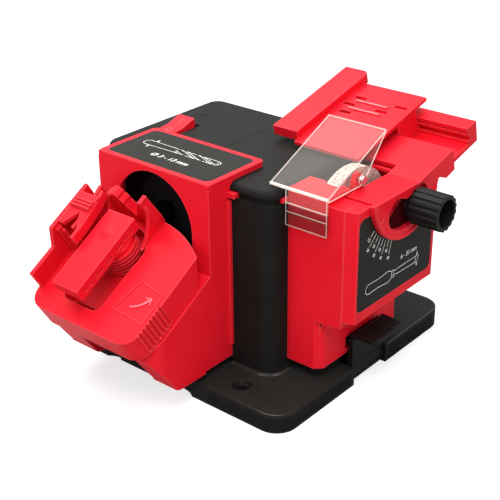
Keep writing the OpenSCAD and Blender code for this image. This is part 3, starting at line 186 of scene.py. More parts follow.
def clear_sheet(name, tint, rough, veil, skirt_shade=None, below=0.0):
    """Clear moulded polycarbonate: most light passes straight through, a pale veil and a soft gloss
    stay, and patches of handling haze turn the gloss up and down. Where a second tint and veil are
    given, they hold below that height (mm) as painted shade that darkens the ridged skirt."""
    m, t, out = new_material(name)
    at = add(t, "ShaderNodeTexCoord").outputs["Object"]
    haze = add(t, "ShaderNodeTexNoise", {"Vector": at, "Scale": per_mm(HAZE), "Detail": 4.0})
    gloss = add(t, "ShaderNodeMapRange", {"Value": haze.outputs["Fac"], "To Min": rough,
                                          "To Max": rough + 0.15})
    skin = add(t, "ShaderNodeBsdfPrincipled", {"Base Color": linear(tint), "Alpha": veil,
                                               "Roughness": gloss.outputs["Result"]})
    # Below the given height, a darker tint and thicker veil painted as shade on the skirt.
    if skirt_shade:
        skirt_shade_tint, skirt_shade_veil = skirt_shade
        change = 0.4
        height = add(t, "ShaderNodeSeparateXYZ", {"Vector": at}).outputs["Z"]
        share = add(t, "ShaderNodeMapRange", {"Value": height, "From Min": (below - change) * MM,
                                              "From Max": below * MM})
        ramp = add(t, "ShaderNodeValToRGB", {"Fac": share.outputs["Result"]})
        for stop, shade in zip(ramp.color_ramp.elements, (skirt_shade_tint, tint)):
            stop.color = linear(shade)
        thick = add(t, "ShaderNodeMapRange", {"Value": share.outputs["Result"], "To Min": skirt_shade_veil,
                                              "To Max": veil})
        t.links.new(ramp.outputs["Color"], skin.inputs["Base Color"])
        t.links.new(thick.outputs["Result"], skin.inputs["Alpha"])
    t.links.new(skin.outputs["BSDF"], out.inputs["Surface"])
    return m


# ABS moulded in a polished tool: saturated red with a soft sheen that washes pale under an overhead
# light, and outer edges painted a shade paler as the highlight that rounded edges catch.
RED = moulded("ABS_red_semi_gloss", "#DA1123", "#E11829", 0.42, 0.9, 0.02, 0.05, 0.1, edge_highlight_tone="#F0737D")
# ABS moulded in a spark-eroded tool: near black, with a matt grain. Half a millimetre is coarser than
# the real grain, so that it shows.
BLACK = moulded("ABS_black_spark_textured", "#121211", "#181816", 0.6, 0.55, 0.06, 0.06, 0.09, edge=1.5)
# The same black ABS on the base, whose rim is moulded with fine upright ribs for grip.
RIBBED = moulded("ABS_black_ribbed_rim", "#20201E", "#282826", 0.58, 0.55, 0.05, 0.06, 0.06, edge=1.2,
                 ribs=2.1)
# Black polypropylene of the knob and latches, a little smoother than the body.
KNOB = moulded("polypropylene_black_satin", "#111110", "#171716", 0.48, 0.7, 0.02, 0.05, 0.12)
# Rubber: dull, slightly dusty.
RUBBER = moulded("rubber_black_matt", "#121212", "#1A1A1A", 0.8, 0.4, 0.04, 0.05, 0.1)
# Red ABS from a mirror-polished tool, on the two glide beads alone: their round tops show the lamp as a
# white line.
POLISHED = moulded("ABS_red_polished", "#E2303A", "#E83A44", 0.1, 0.9, 0.002, 0.02, 1.0, edge=0.05)
# Black ABS from a polished tool, on the beads of the body's foot and the base's rim: one thin grey line
# of light along each round.
SLEEK = moulded("ABS_black_polished", "#191918", "#21211F", 0.26, 0.7, 0.003, 0.03, 0.5, edge=0.05)
# Pale red ABS on raised marks: the rocker's bar and ring, the tilt pointer, and the head's arrow, where
# the pale tone is a painted highlight.
PALE_MARK_AND_HIGHLIGHT = moulded("ABS_red_pale_mark_and_painted_highlight", "#EE5B66", "#F46C76", 0.4, 0.5, 0.01, 0.03, 0.1, edge=0.02)
# A matt dark red sheet behind the arc slot, painted shade for the slot's dark hollow, close to black in
# the knob's shade.
SLOT_SHADE = moulded("slot_painted_shade_dark_red", "#33070B", "#3C090D", 0.95, 0.5, 0.08, 0.03, 0.0, edge=0.1)
# Printed polyester film, satin charcoal.
FILM = moulded("polyester_film_charcoal", "#1E1E1B", "#242421", 0.45, 0.3, 0.005, 0.03, 0.06, edge=0.1)
# White printing ink on the film.
INK = moulded("screen_ink_white", "#E4E4E0", "#F0F0EC", 0.5, 0.3, 0.003, 0.03, 0.3, edge=0.02)
# Zinc-plated steel of screws, pins and shafts: bright, cool grey, softly mirrored.
STEEL = metal("zinc_plated_steel", "#C3C6C9", 0.3, 1.2)
# Nut and shaft end in the drill unit: steel painted near black as the shade inside the arch.
ARCH_SHADE_STEEL = metal("steel_painted_arch_shade", "#0E0E0F", 0.55, 1.2)
# Zinc alloy as it leaves the die: dull mid grey, blurred reflections.
CAST = metal("die_cast_zinc_alloy", "#9EA1A4", 0.5, 2.0)
# Copper wire under clear enamel: warm brown with a wet gleam.
COPPER = metal("enamelled_copper_winding", "#B0673A", 0.35, 0.8)
# Turned brass: pale gold with a clean gleam.
BRASS = metal("brass_turned", "#C9A65A", 0.3, 1.0)
# Undyed moulded nylon: warm white, a little waxy.
NYLON = moulded("nylon_natural_white", "#E3E0D6", "#ECEAE2", 0.5, 0.6, 0.01, 0.04, 0.3)
# Fused alumina wheel, pale grey with a warm cast, grit drawn coarse at a millimetre so that it shows.
STONE = abrasive("fused_alumina_wheel", "#978C81", "#CCC2B7", 1.1, 0.25)
# Fine abrasive in a dark bond on the drill wheel: near black and dead matt, faintly speckled.
DARK_STONE = abrasive("fine_dark_abrasive", "#070708", "#0E0E0F", 0.6, 0.1)
# Clear moulded polycarbonate of the eye shield: a faint warm veil over what lies behind it, and on its
# skirt a darker tint painted as shade.
CLEAR = clear_sheet("polycarbonate_clear", "#FFF3EA", 0.1, 0.042, skirt_shade=("#3A2422", 0.26), below=141.6)
# The moulded edges of the clear sheet: pale cream lines painted as the light that comes out of them.
SHEET_EDGE_HIGHLIGHT = clear_sheet("polycarbonate_painted_edge_highlight", "#FFF1E6", 0.2, 0.36)
# Its front lip, painted pale all through as a glow.
SHEET_LIP_GLOW = clear_sheet("polycarbonate_painted_lip_glow", "#FFF4E8", 0.25, 0.62)

FINISH = {"red_abs": RED, "black_abs": BLACK, "rubber_black": RUBBER, "steel_bright": STEEL,
          "zinc_cast": CAST, "copper_wire": COPPER, "brass_plain": BRASS, "nylon_white": NYLON,
          "stone_grey": STONE, "diamond_dark": DARK_STONE, "label_grey": FILM, "clear_pc": CLEAR}
for sub in frame["record"]["subparts"]:
    part = nodes[sub["node"]]
    part.data.materials.clear()
    part.data.materials.append(FINISH[sub["material_slot"]])
for name in ("lock_knob", "blade_latch", "drill_latch"):
    nodes[name].data.materials[0] = KNOB
# Nut and shaft end take the near-black steel that paints the arch's shade.
for name in ("drill_wheel_nut", "motor_shaft"):
    nodes[name].data.materials[0] = ARCH_SHADE_STEEL
nodes["base_plate"].data.materials[0] = RIBBED


def piece(name, places, faces, material, body):
    """A mesh object at the origin from points (mm) and faces; it rides on a body."""
    mesh = bpy.data.meshes.new(name)
    mesh.from_pydata((np.asarray(places) * MM).tolist(), [], np.asarray(faces).tolist())
    mesh.materials.append(material)
    made = bpy.data.objects.new(name, mesh)
    scene.collection.objects.link(made)
    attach(made, body)
    return made


def grid_faces(rows, columns, start=0, loop=False):
    """Quads of a grid of rows by columns points, counted row by row from start; loop joins the last
    column to the first."""
    i, j = np.meshgrid(np.arange(rows - 1), np.arange(columns if loop else columns - 1), indexing="ij")
    k = (j + 1) % columns
    return np.stack([i * columns + j, i * columns + k, (i + 1) * columns + k, (i + 1) * columns + j],
                    -1).reshape(-1, 4) + start


def tube(path, radius, start=0, sides=8):
    """A round profile carried along a path: at each point a circle of that radius in the plane square
    to the path, closed at both ends by a last ring drawn in to the middle."""
    point = 1e-3
    p = np.asarray(path, float)
    p = np.concatenate([p[:1], p, p[-1:]])
    r = np.concatenate([[point], np.full(len(p) - 2, radius), [point]])
    longer = np.concatenate([2 * p[1:2] - p[2:3], p[1:-1], 2 * p[-2:-1] - p[-3:-2]])
    ahead = np.gradient(longer, axis=0)
    ahead = ahead / np.linalg.norm(ahead, axis=1, keepdims=True)
    helper = np.eye(3)[np.argmin(np.abs(ahead).max(0))]
    side = np.cross(ahead, helper)
    side = side / np.linalg.norm(side, axis=1, keepdims=True)
    up = np.cross(ahead, side)
    a = np.linspace(0, 2 * np.pi, sides, endpoint=False)
    ring = np.cos(a)[None, :, None] * side[:, None] + np.sin(a)[None, :, None] * up[:, None]
    return (p[:, None] + r[:, None, None] * ring).reshape(-1, 3), grid_faces(len(p), sides, start, True)


def tubes(name, paths, radius, material, body):
    """Several such tubes as one piece."""
    places, faces, count = [], [], 0
    for path in paths:
        v, f = tube(path, radius, count)
        places.append(v)
        faces.append(f)
        count += len(v)
    return piece(name, np.concatenate(places), np.concatenate(faces), material, body)


def on_plane(origin, across, up, lift):
    """A function that lays flat points (mm) on a plane: the origin plus a times across plus b times up,
    lifted along the plane's normal."""
    o, e1, e2 = (np.asarray(v, float) for v in (origin, across, up))
    e3 = np.cross(e1, e2)
    return lambda flat: o + flat[:, :1] * e1 + flat[:, 1:2] * e2 + lift * e3


def printed(name, lines, lay, material, body, thick=0.0):
    """Flat lines as one piece: each is a path with a half-width at every point; two edges run beside
    the path, moved off it by the half-width along the path's own normal. thick (mm) makes them raised
    marks."""
    places, faces, count = [], [], 0
    for path, half in lines:
        p = np.asarray(path, float)
        h = np.broadcast_to(np.asarray(half, float), (len(p),))
        d = np.gradient(p, axis=0)
        d = d / np.maximum(np.linalg.norm(d, axis=1, keepdims=True), 1e-9)
        off = np.stack([-d[:, 1], d[:, 0]], 1) * h[:, None]
        both = np.stack([p - off, p + off], 1).reshape(-1, 2)
        places.append(lay(both))
        faces.append(grid_faces(len(p), 2, count))
        count += len(both)
    made = piece(name, np.concatenate(places), np.concatenate(faces), material, body)
    if thick:
        wall = made.modifiers.new("thick", "SOLIDIFY")
        wall.thickness = thick * MM
        wall.offset = -1.0
    return made


def arc(centre, radius, start, stop, count=24):
    """Points of a circle's arc, angles in degrees."""
    a = np.radians(np.linspace(start, stop, count))
    return np.stack([centre[0] + radius * np.cos(a), centre[1] + radius * np.sin(a)], 1)


def dart(tail, tip, stem, head):
    """A small arrow as one line: a stem over half its length, which widens to a head and closes to a
    point. stem and head are half-widths."""
    a, b = np.asarray(tail, float), np.asarray(tip, float)
    k = np.array([0.0, 0.5, 0.501, 1.0])
    return a + k[:, None] * (b - a), np.array([stem, stem, head, 0.01])


def word(name, text, place, height, width, turn, lay, body, lean=0.0):
    """Plain lettering: the built-in face made a mesh, scaled to a height and width, sheared by lean,
    turned about its middle by turn (degrees) and laid on a plane."""
    face = bpy.data.curves.new(name, "FONT")
    face.body = text
    face.align_x = "CENTER"
    face.align_y = "CENTER"
    face.offset = 0.012
    holder = bpy.data.objects.new(name + "_outline", face)
    scene.collection.objects.link(holder)
    mesh = bpy.data.meshes.new_from_object(holder.evaluated_get(bpy.context.evaluated_depsgraph_get()))
    bpy.data.objects.remove(holder)
    co = np.empty(len(mesh.vertices) * 3)
    mesh.vertices.foreach_get("co", co)
    flat = co.reshape(-1, 3)[:, :2]
    low, high = flat.min(0), flat.max(0)
    flat = (flat - (low + high) / 2) / (high - low) * np.array([width, height])
    flat[:, 0] += lean * flat[:, 1]
    c, s = math.cos(math.radians(turn)), math.sin(math.radians(turn))
    flat = flat @ np.array([[c, s], [-s, c]]) + np.asarray(place, float)
    mesh.vertices.foreach_set("co", (lay(flat) * MM).ravel())
    mesh.materials.clear()
    mesh.materials.append(INK)
    mesh.update()
    made = bpy.data.objects.new(name, mesh)
    scene.collection.objects.link(made)
    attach(made, body)
    return made


def drill_label_print():
    """A drill bit in outline along X, and its size range below: a round shank end, two edges that close
    in to the neck and run straight to the round tip, flutes that are half cosines from edge to edge,
    and two arrows across the shank."""
    lay = on_plane((0, 0, CAP_LABEL), (1, 0, 0), (0, 1, 0), PRINT_LIFT)
    mid, half, w = -54.6, 3.7, 0.22
    shank, arrows, waist, neck, tip, twist = -53.5, -49.5, -40.0, -28.0, 9.0, 22.0
    taper = half - 0.6
    x = np.linspace(neck, tip, 60)
    flutes = []
    for begin in (-43.0, -38.5, -27.5, -23.0, -12.0, -7.5):
        shown = x[(x >= begin) & (x <= begin + twist)]
        flutes.append((np.stack([shown, mid + taper * np.cos(np.pi * (shown - begin) / twist)], 1), w))
    lines = [(np.array([[shank, mid + half], [waist, mid + half - 0.3], [neck, mid + half - 0.6]]), w),
             (np.array([[shank, mid - half], [waist, mid - half + 0.3], [neck, mid - half + 0.6]]), w),
             (arc((shank, mid), half, 90, 270), w),
             (np.array([[neck, mid + taper], [tip, mid + taper]]), w),
             (np.array([[neck, mid - taper], [tip, mid - taper]]), w),
             (arc((tip, mid), taper, 90, -90), w),
             (np.array([[tip, mid + 1.8], [tip + 1.8, mid - 0.2], [tip + 0.2, mid - 1.8]]), w),
             dart((arrows, mid + half + 3.4), (arrows, mid + half + 0.2), 0.3, 1.1),
             dart((arrows, mid - half - 3.4), (arrows, mid - half - 0.2), 0.3, 1.1)]
    printed("drill_mark", lines + flutes, lay, INK, "frame")
    word("drill_range", "Ø 3 - 13 mm", (-20.2, -68.4), 4.6, 33.0, 0, lay, "frame", lean=0.2)


def blade_label_print():
    """The tilt scale: radial lines about five degrees apart round the tilt axis with their numbers, and
    a chisel in outline along Y with its width range: a handle whose half-width runs through seven set
    values, a ferrule, a blade and two arrows across its edge."""
    lay = on_plane((COVER_LABEL, 0, 0), (0, 1, 0), (0, 0, 1), PRINT_LIFT)
    first, apart, near, short, long, gap = 217.7, 5.25, 39.4, 44.5, 49.5, 2.4
    lines = []
    for i in range(8):
        a = math.radians(first + apart * i)
        way = np.array([math.cos(a), math.sin(a)])
        far = long if i % 2 else short
        lines.append((TILT_AXIS + np.linspace(near, far, 2)[:, None] * way, 0.2))
        number = 15 + 5 * i
        word("tilt_number_%d" % number, str(number), TILT_AXIS + (far + gap) * way, 2.3, 2.9,
             math.degrees(a) + 90, lay, "frame")
    z, w = 87.3, 0.2
    butt, collar, ferrule = -31.0, -4.4, -2.4
    y = np.linspace(butt, collar, 40)
    half = np.interp(y, (butt, -27.0, -21.0, -15.0, -10.0, -7.0, collar),
                     (3.5, 3.4, 3.1, 3.5, 4.1, 3.7, 2.3))
    lines += [(np.stack([y, z + half], 1), w),
              (np.stack([y, z - half], 1), w),
              (arc((butt, z), 3.5, 90, 270), w),
              (np.array([[collar, z + 2.4], [collar, z - 2.4]]), w),
              (np.array([[ferrule, z + 2.7], [ferrule, z - 2.7]]), w),
              (np.array([[collar, z + 2.3], [ferrule, z + 2.6], [0.6, z + 1.2], [2.0, z + 2.0],
                         [28.4, z + 2.2]]), w),
              (np.array([[collar, z - 2.3], [ferrule, z - 2.6], [0.6, z - 1.2], [2.0, z - 1.8],
                         [27.0, z - 2.3]]), w),
              (np.array([[28.4, z + 2.3], [27.0, z - 2.4]]), w),
              (np.array([[25.2, z + 2.0], [24.2, z - 2.0]]), w),
              dart((26.6, z + 5.6), (26.2, z + 2.6), 0.3, 1.0),
              dart((26.4, z - 5.6), (26.0, z - 2.6), 0.3, 1.0)]
    printed("blade_mark", lines, lay, INK, "frame")
    word("blade_range", "6 - 51 mm", (15.6, 96.3), 3.4, 19.4, 0, lay, "frame", lean=0.15)


def rocker_marks():
    """Pale bar and ring on the two slopes of the rocker, which stands tipped about its pin: each mark
    lies on the plane of its slope, half-way along it."""
    tip = math.radians(12)
    pin_x, pin_y, pin_z, run, fall = -66.0, -14.0, 146.5, 13.0, 1.4
    for name, sign in (("rocker_bar", 1), ("rocker_ring", -1)):
        slope = sign * math.atan2(fall, run) + tip
        up = np.array([0, math.cos(slope), math.sin(slope)])
        y, z = sign * run / 2, 6.7
        origin = np.array([pin_x, pin_y + y * math.cos(tip) - z * math.sin(tip),
                           pin_z + y * math.sin(tip) + z * math.cos(tip)])
        lay = on_plane(origin, (1, 0, 0), up, 0.08)
        shape = np.array([[0, -2.6], [0, 2.6]]) if sign > 0 else arc((0, 0), 2.4, 0, 360, 33)
        printed(name, [(shape, 0.28)], lay, PALE_MARK_AND_HIGHLIGHT, "rocker")


def head_emboss():
    """A raised square round a curved arrow on the head's flat face: four straight lines, and an arc
    that widens towards two short strokes."""
    face = 20.0
    lay = on_plane(MOUTH + face * MOUTH_OUT, (1, 0, 0), MOUTH_UP, 0.25)
    box = np.array([[23.4, -29.7], [44.8, -32.7], [45.2, -56.2], [17.0, -53.7], [23.4, -29.7]])
    k = np.linspace(0, 1, 9)[:, None]
    sides = [(box[i] + k * (box[i + 1] - box[i]), 0.3) for i in range(4)]
    steps = 20
    bend = arc((24.0, -33.5), 15.5, -75, -22, steps)
    sweep = np.linspace(0.5, 0.9, steps)
    end = bend[-1]
    point = [(np.array([end + [-3.6, 0.2], end + [0.8, 1.4]]), np.array([0.3, 0.6])),
             (np.array([end + [0.8, 1.4], end + [2.2, -3.2]]), np.array([0.6, 0.3]))]
    printed("head_square", sides, lay, RED, "head", thick=0.4)
    # The arrow's pale tone is a painted highlight on its raised stroke.
    printed("head_arrow", [(bend, sweep)] + point, lay, PALE_MARK_AND_HIGHLIGHT, "head", thick=0.5)


def tilt_pointer():
    """A short pale line on the table's cheek, drawn out from the tilt axis, that runs along the scale
    as the table tilts."""
    cheek = 121.8
    lay = on_plane((cheek, 0, 0), (0, 1, 0), (0, 0, 1), PRINT_LIFT)
    a = math.radians(210.0)
    way = np.array([math.cos(a), math.sin(a)])
    line = TILT_AXIS + np.linspace(32.4, 36.2, 2)[:, None] * way
    printed("tilt_pointer", [(line, 0.3)], lay, PALE_MARK_AND_HIGHLIGHT, "table")


def shield_edges():
    """Edges of the clear sheet with painted highlights: thin pale round lines along its borders, the two
    ridges of its skirt, the lower edge of its cheek and the half-round ear at its hinge, with a thicker
    lip along the front painted as a glow."""
    left, right, front, back, front_z = 53.6, 99.0, -52.6, 8.7, 152.6
    back_z = front_z + (back - front) * math.tan(math.radians(24.5))
    skirt_left, skirt_right, skirt_foot, ridges, proud = 65.8, 98.0, 126.4, (136.1, 142.1), 0.3
    cheek_foot, cheek_end, ear_end, ear_z = 150.6, -12.6, -12.2, 154.6
    ear = arc((-16.2, 154.3), 3.4, 270, 90, 13)
    lip_z, lip_radius, edge_radius = 152.0, 1.15, 0.36
    k = np.linspace(0, 1, 5)[:, None]

    def straight(a, b):
        return np.asarray(a, float) + k * (np.asarray(b, float) - np.asarray(a, float))

    paths = [straight((left, front, front_z), (left, back, back_z)),
             straight((right, front, front_z), (right, back, back_z)),
             straight((left, back, back_z), (right, back, back_z)),
             straight((left, front, front_z), (right, front, front_z)),
             straight((skirt_left, front, skirt_foot), (skirt_right, front, skirt_foot)),
             straight((skirt_left, front, skirt_foot), (skirt_left, front, front_z)),
             straight((skirt_right, front, skirt_foot), (skirt_right, front, front_z))]
    paths += [straight((skirt_left, front - proud, z), (skirt_right, front - proud, z)) for z in ridges]
    paths += [straight((right, front, cheek_foot), (right, cheek_end, cheek_foot)),
              straight((right, ear_end, ear_z), (right, back, back_z - 0.4)),
              np.column_stack([np.full(len(ear), right), ear])]
    tubes("shield_edges", paths, edge_radius, SHEET_EDGE_HIGHLIGHT, "shield")
    # The front lip is painted pale as a glow.
    lip = np.linspace((left - 0.2, front - 0.1, lip_z), (right + 0.2, front - 0.1, lip_z), 9)
    tubes("shield_lip_glow", [lip], lip_radius, SHEET_LIP_GLOW, "shield")


def glide_beads():
    """Two half-round beads on the carriage's ridges: a round profile carried across the sloping plate.
    A place on the plate is so far up the slope from its foot, and so far off it."""
    slope, foot_y, foot_z, off = math.radians(14), 17.0, 147.3, 10.35

    def at(x, climb):
        return np.array([x, foot_y + climb * math.cos(slope) - off * math.sin(slope),
                         foot_z + climb * math.sin(slope) + off * math.cos(slope)])

    paths = [np.linspace(at(34.6, climb), at(60.5, climb), 5) for climb in (45.4, 55.5)]
    tubes("glide_beads", paths, 0.75, POLISHED, "carriage")


def bar(name, low, high, round_off, material, body):
    """A straight bar along its longest side: a rectangle with rounded corners carried from end to end,
    its ends drawn in to a point."""
    lo, hi, r, sides = np.asarray(low, float), np.asarray(high, float), round_off, 24
    run = int(np.argmax(hi - lo))
    one, two = (run + 1) % 3, (run + 2) % 3
    a = np.linspace(0, 2 * np.pi, sides, endpoint=False) + np.pi / sides
    half = (hi - lo) / 2
    ring = np.stack([np.sign(np.cos(a)) * (half[one] - r) + r * np.cos(a),
                     np.sign(np.sin(a)) * (half[two] - r) + r * np.sin(a)], 1)
    steps = np.array([0.0, 0.0, r, 2 * half[run] - r, 2 * half[run], 2 * half[run]])
    grow = np.array([0.0, 1 - r / half.min(), 1.0, 1.0, 1 - r / half.min(), 0.0])
    co = np.empty((len(steps), sides, 3))
    co[:, :, run] = lo[run] + steps[:, None]
    co[:, :, one] = (lo + half)[one] + grow[:, None] * ring[None, :, 0]
    co[:, :, two] = (lo + half)[two] + grow[:, None] * ring[None, :, 1]
    faces = grid_faces(len(steps), sides, 0, True)[:, ::-1]
    return piece(name, co.reshape(-1, 3), faces, material, body)


def slot_seal():
    """A matt dark red sheet behind the arc slot that paints the shade of its hollow, flat on the cover's
    face: a ring sector round the tilt axis, cut off along the lines that the table's underside reaches
    at rest and at full tilt."""
    full_tilt, under, hub, outer, face = math.radians(35.0), 8.75, 11.0, 32.0, 117.26
    turns, rings = 46, 9
    angle = np.radians(np.linspace(232.0, 322.0, turns))[:, None]
    inner = np.maximum(hub, under / np.abs(np.sin(angle - full_tilt)))
    inner = np.minimum(np.maximum(inner, under / np.abs(np.sin(angle))), outer - 0.2)
    out = inner + np.linspace(0, 1, rings) * (outer - inner)
    co = np.stack([np.full(out.shape, face), TILT_AXIS[0] + out * np.cos(angle),
                   TILT_AXIS[1] + out * np.sin(angle)], -1)
    # The sheet paints the slot's shade.
    piece("slot_seal", co.reshape(-1, 3), grid_faces(turns, rings)[:, ::-1], SLOT_SHADE, "frame")


def boss(name, middle, across, up, radius, rise, material, body):
    """A low round boss on a flat face: a disc lifted by half a cosine of the distance from its middle,
    its rim a little below the face."""
    across, up = np.array(across, float), np.array(up, float)
    normal = np.cross(across, up)
    rings, turns, sunk = 19, 49, 0.03
    out, angle = np.meshgrid(np.linspace(0.02, radius, rings), np.linspace(0, 2 * np.pi, turns),
                             indexing="ij")
    lift = rise / 2 * (1 + np.cos(np.pi * out / radius)) - sunk
    co = (np.array(middle) + (out * np.cos(angle))[..., None] * across
          + (out * np.sin(angle))[..., None] * up + lift[..., None] * normal)
    piece(name, co.reshape(-1, 3), grid_faces(rings, turns), material, body)


def bosses():
    """One boss on the motor body's top behind the rocker, one on the clamp lever over its screw."""
    boss("top_boss", (-73.7, 18.0, BODY_TOP), (1, 0, 0), (0, 1, 0), 9.0, 1.3, BLACK, "frame")
    middle = MOUTH + np.array([-10.6, 0, 0]) - 14.7 * MOUTH_UP + 39.0 * MOUTH_OUT
    boss("lever_boss", middle, (1, 0, 0), MOUTH_UP, 7.0, 0.7, RED, "clamp")


def foot_beads():
    """A bead round the foot of the motor body on the base, a round profile along the body's outline:
    one run in front of the blade unit and one behind it."""
    height, right, front, back, turn = 14.6, 65.0, -66.2, 57.0, 11.8
    corner = arc((right - turn, front + turn), turn, -90, 0, 17)
    run = np.concatenate([np.stack([np.linspace(30.6, 50.0, 9), np.full(9, front)], 1), corner,
                          np.array([[right, -52.0], [right, -48.5]])])
    rear = np.concatenate([np.array([[right, 43.5]]), arc((right - turn, back - turn), turn, 0, 90, 17),
                           np.stack([np.linspace(50.0, -78.0, 20), np.full(20, back)], 1)])
    paths = [np.column_stack([p, np.full(len(p), height)]) for p in (run, rear)]
    tubes("foot_beads", paths, 1.9, SLEEK, "frame")


def rim_bead():
    """The rounded top edge of the base: a round profile along its outline, broken at the side latch's
    gap and under the drill unit."""
    side, turn, height = 99.45, 15.5, 13.72
    corners = [arc((sx * (side - turn), sy * (side - turn)), turn, a, a + 90, 15)
               for sx, sy, a in ((1, -1, -90), (1, 1, 0), (-1, 1, 90), (-1, -1, 180))]
    run = np.concatenate([[[37.0, -side], [60.0, -side]], corners[0], [[side, -50.0], [side, -21.0]]])
    rest = np.concatenate([[[side, 24.0], [side, 60.0]], corners[1],
                           [[60.0, side], [-60.0, side]], corners[2],
                           [[-side, 60.0], [-side, -60.0]], corners[3],
                           [[-81.0, -side], [-79.0, -side]]])
    paths = [np.column_stack([p, np.full(len(p), height)]) for p in (run, rest)]
    tubes("rim_bead", paths, 0.5, SLEEK, "frame")


def bolt_dishes():
    """Countersunk dishes in the four bench bolt holes: a slope and a short bore turned round each
    hole's axis."""
    bore, bore_foot, rim, turns, hole_x, hole_y = 2.78, 10.4, 6.96, 41, 54.0, 84.0
    r = np.concatenate([[bore], np.linspace(bore, rim, 8)])
    z = np.concatenate([[bore_foot], np.linspace(12.6, 14.5, 8)])
    out, angle = np.meshgrid(r, np.linspace(0, 2 * np.pi, turns), indexing="ij")
    rise = np.broadcast_to(z[:, None], out.shape)
    places, faces = [], []
    for i, (sx, sy) in enumerate(((1, -1), (1, 1), (-1, 1), (-1, -1))):
        co = np.stack([sx * hole_x + out * np.cos(angle), sy * hole_y + out * np.sin(angle), rise], -1)
        places.append(co.reshape(-1, 3))
        faces.append(grid_faces(len(r), turns, i * out.size))
    piece("bolt_dishes", np.concatenate(places), np.concatenate(faces), KNOB, "frame")


def window_lip():
    """A rounded lip across the far side of the wheel's window, under the table's edge."""
    bar("window_lip", (78.0, 24.6, 143.4), (107.0, 27.4, 146.4), 0.6, RED, "frame")


def cap_corners():
    """The two front corners of the drill unit's cap, square where the cap meets the front wall."""
    front, back, foot, top, round_off = -86.4, -82.1, 145.0, 154.55, 0.7
    for name, left, right in (("cap_corner_left", -70.9, -66.6), ("cap_corner_right", 25.8, 30.1)):
        bar(name, (left, front, foot), (right, back, top), round_off, RED, "frame")


def rim_ribs():
    """Upright ribs on the base's rim, right and front: a sheet on the rounded outline whose outward
    offset is a raised cosine of the distance along the rim, faded out at the sheet's ends and sunk at
    its upper and lower border."""
    corner, pitch, tall, clear, sunk, per_rib = 16.0, 2.1, 0.45, 0.02, 0.3, 6
    step = pitch / per_rib
    middle = BASE_HALF - corner
    rows = np.array([1.2, 2.0, 11.0, 12.2])
    border = np.array([True, False, False, True])
    places, faces, count = [], [], 0
    for low, high, round_corner in ((23.5, middle, False), (-middle, -20.5, True)):
        y = np.arange(low, high, step)
        along = np.stack([np.full(y.shape, BASE_HALF), y], 1)
        out = np.tile((1.0, 0.0), (len(y), 1))
        if round_corner:
            turn = np.radians(np.arange(-90, 0, np.degrees(step / corner)))
            bend = np.stack([middle + corner * np.cos(turn), -middle + corner * np.sin(turn)], 1)
            x = np.arange(37.0, middle, step)
            along = np.concatenate([np.stack([x, np.full(x.shape, -BASE_HALF)], 1), bend, along])
            out = np.concatenate([np.tile((0.0, -1.0), (len(x), 1)),
                                  np.stack([np.cos(turn), np.sin(turn)], 1), out])
        n = np.arange(len(along))
        wave = 0.5 - 0.5 * np.cos(2 * np.pi * n / per_rib)
        fade = np.clip(np.minimum(n, n[::-1]) / per_rib, 0.0, 1.0)
        push = np.where(border, -sunk, tall * wave[:, None] * fade[:, None] + clear)
        co = np.empty((len(along), len(rows), 3))
        co[:, :, :2] = along[:, None] + push[:, :, None] * out[:, None]
        co[:, :, 2] = rows
        places.append(co.reshape(-1, 3))
        faces.append(grid_faces(len(along), len(rows), count))
        count += len(along) * len(rows)
    piece("rim_ribs", np.concatenate(places), np.concatenate(faces), BLACK, "frame")


drill_label_print()
blade_label_print()
rocker_marks()
head_emboss()
tilt_pointer()
shield_edges()
glide_beads()
slot_seal()
bosses()
foot_beads()
rim_bead()
bolt_dishes()
window_lip()
cap_corners()
rim_ribs()


def plane(name, width, depth, place, material):
    """A flat rectangle on a two by two grid, centred on place."""
    u, v = np.meshgrid((-0.5, 0.5), (-0.5, 0.5))
    co = np.stack([u.ravel() * width, v.ravel() * depth, np.zeros(4)], 1) + np.array(place)
    mesh = bpy.data.meshes.new(name)
    mesh.from_pydata(co.tolist(), [], [(0, 1, 3, 2)])
    made = bpy.data.objects.new(name, mesh)
    mesh.materials.append(material)
    scene.collection.objects.link(made)
    return made


def seen_directly(tree, mirrored):
    """One where a ray comes from the camera or through glass, and if mirrored from a glossy face too,
    else zero."""
    path = add(tree, "ShaderNodeLightPath")
    seen = add(tree, "ShaderNodeMath", {0: path.outputs["Is Camera Ray"],
                                        1: path.outputs["Is Transmission Ray"]}, operation="MAXIMUM")
    if mirrored:
        seen = add(tree, "ShaderNodeMath", {0: seen.outputs[0], 1: path.outputs["Is Glossy Ray"]},
                   operation="MAXIMUM")
    return seen.outputs[0]


def studio_floor():
    """White paper: pale grey to the lamps, so that little of its light falls back on the object, and
    lifted where it is seen, so that it reads as white while the object's shadow stays. The lift grows
    with the distance from the middle, where the lamps reach less."""
    m, t, out = new_material("white_paper_sweep")
    paper = add(t, "ShaderNodeBsdfDiffuse", {"Color": (0.45, 0.45, 0.45, 1.0)})
    at = add(t, "ShaderNodeTexCoord").outputs["Object"]
    far = add(t, "ShaderNodeVectorMath", {0: at}, operation="LENGTH")
    lift = add(t, "ShaderNodeMapRange", {"Value": far.outputs["Value"], "From Min": 0.5, "From Max": 2.0,
                                         "To Min": 0.68, "To Max": 0.95})
    glow = add(t, "ShaderNodeEmission", {"Color": (1, 1, 1, 1), "Strength": lift.outputs["Result"]})
    both = add(t, "ShaderNodeAddShader")
    t.links.new(paper.outputs["BSDF"], both.inputs[0])
    t.links.new(glow.outputs["Emission"], both.inputs[1])
    pick = add(t, "ShaderNodeMixShader", {"Fac": seen_directly(t, False)})
    t.links.new(paper.outputs["BSDF"], pick.inputs[1])
    t.links.new(both.outputs["Shader"], pick.inputs[2])
    t.links.new(pick.outputs["Shader"], out.inputs["Surface"])
    wide = 8.0
    return plane("studio_floor", wide, wide, (0.0, 0.0, 0.0), m)


studio_floor()


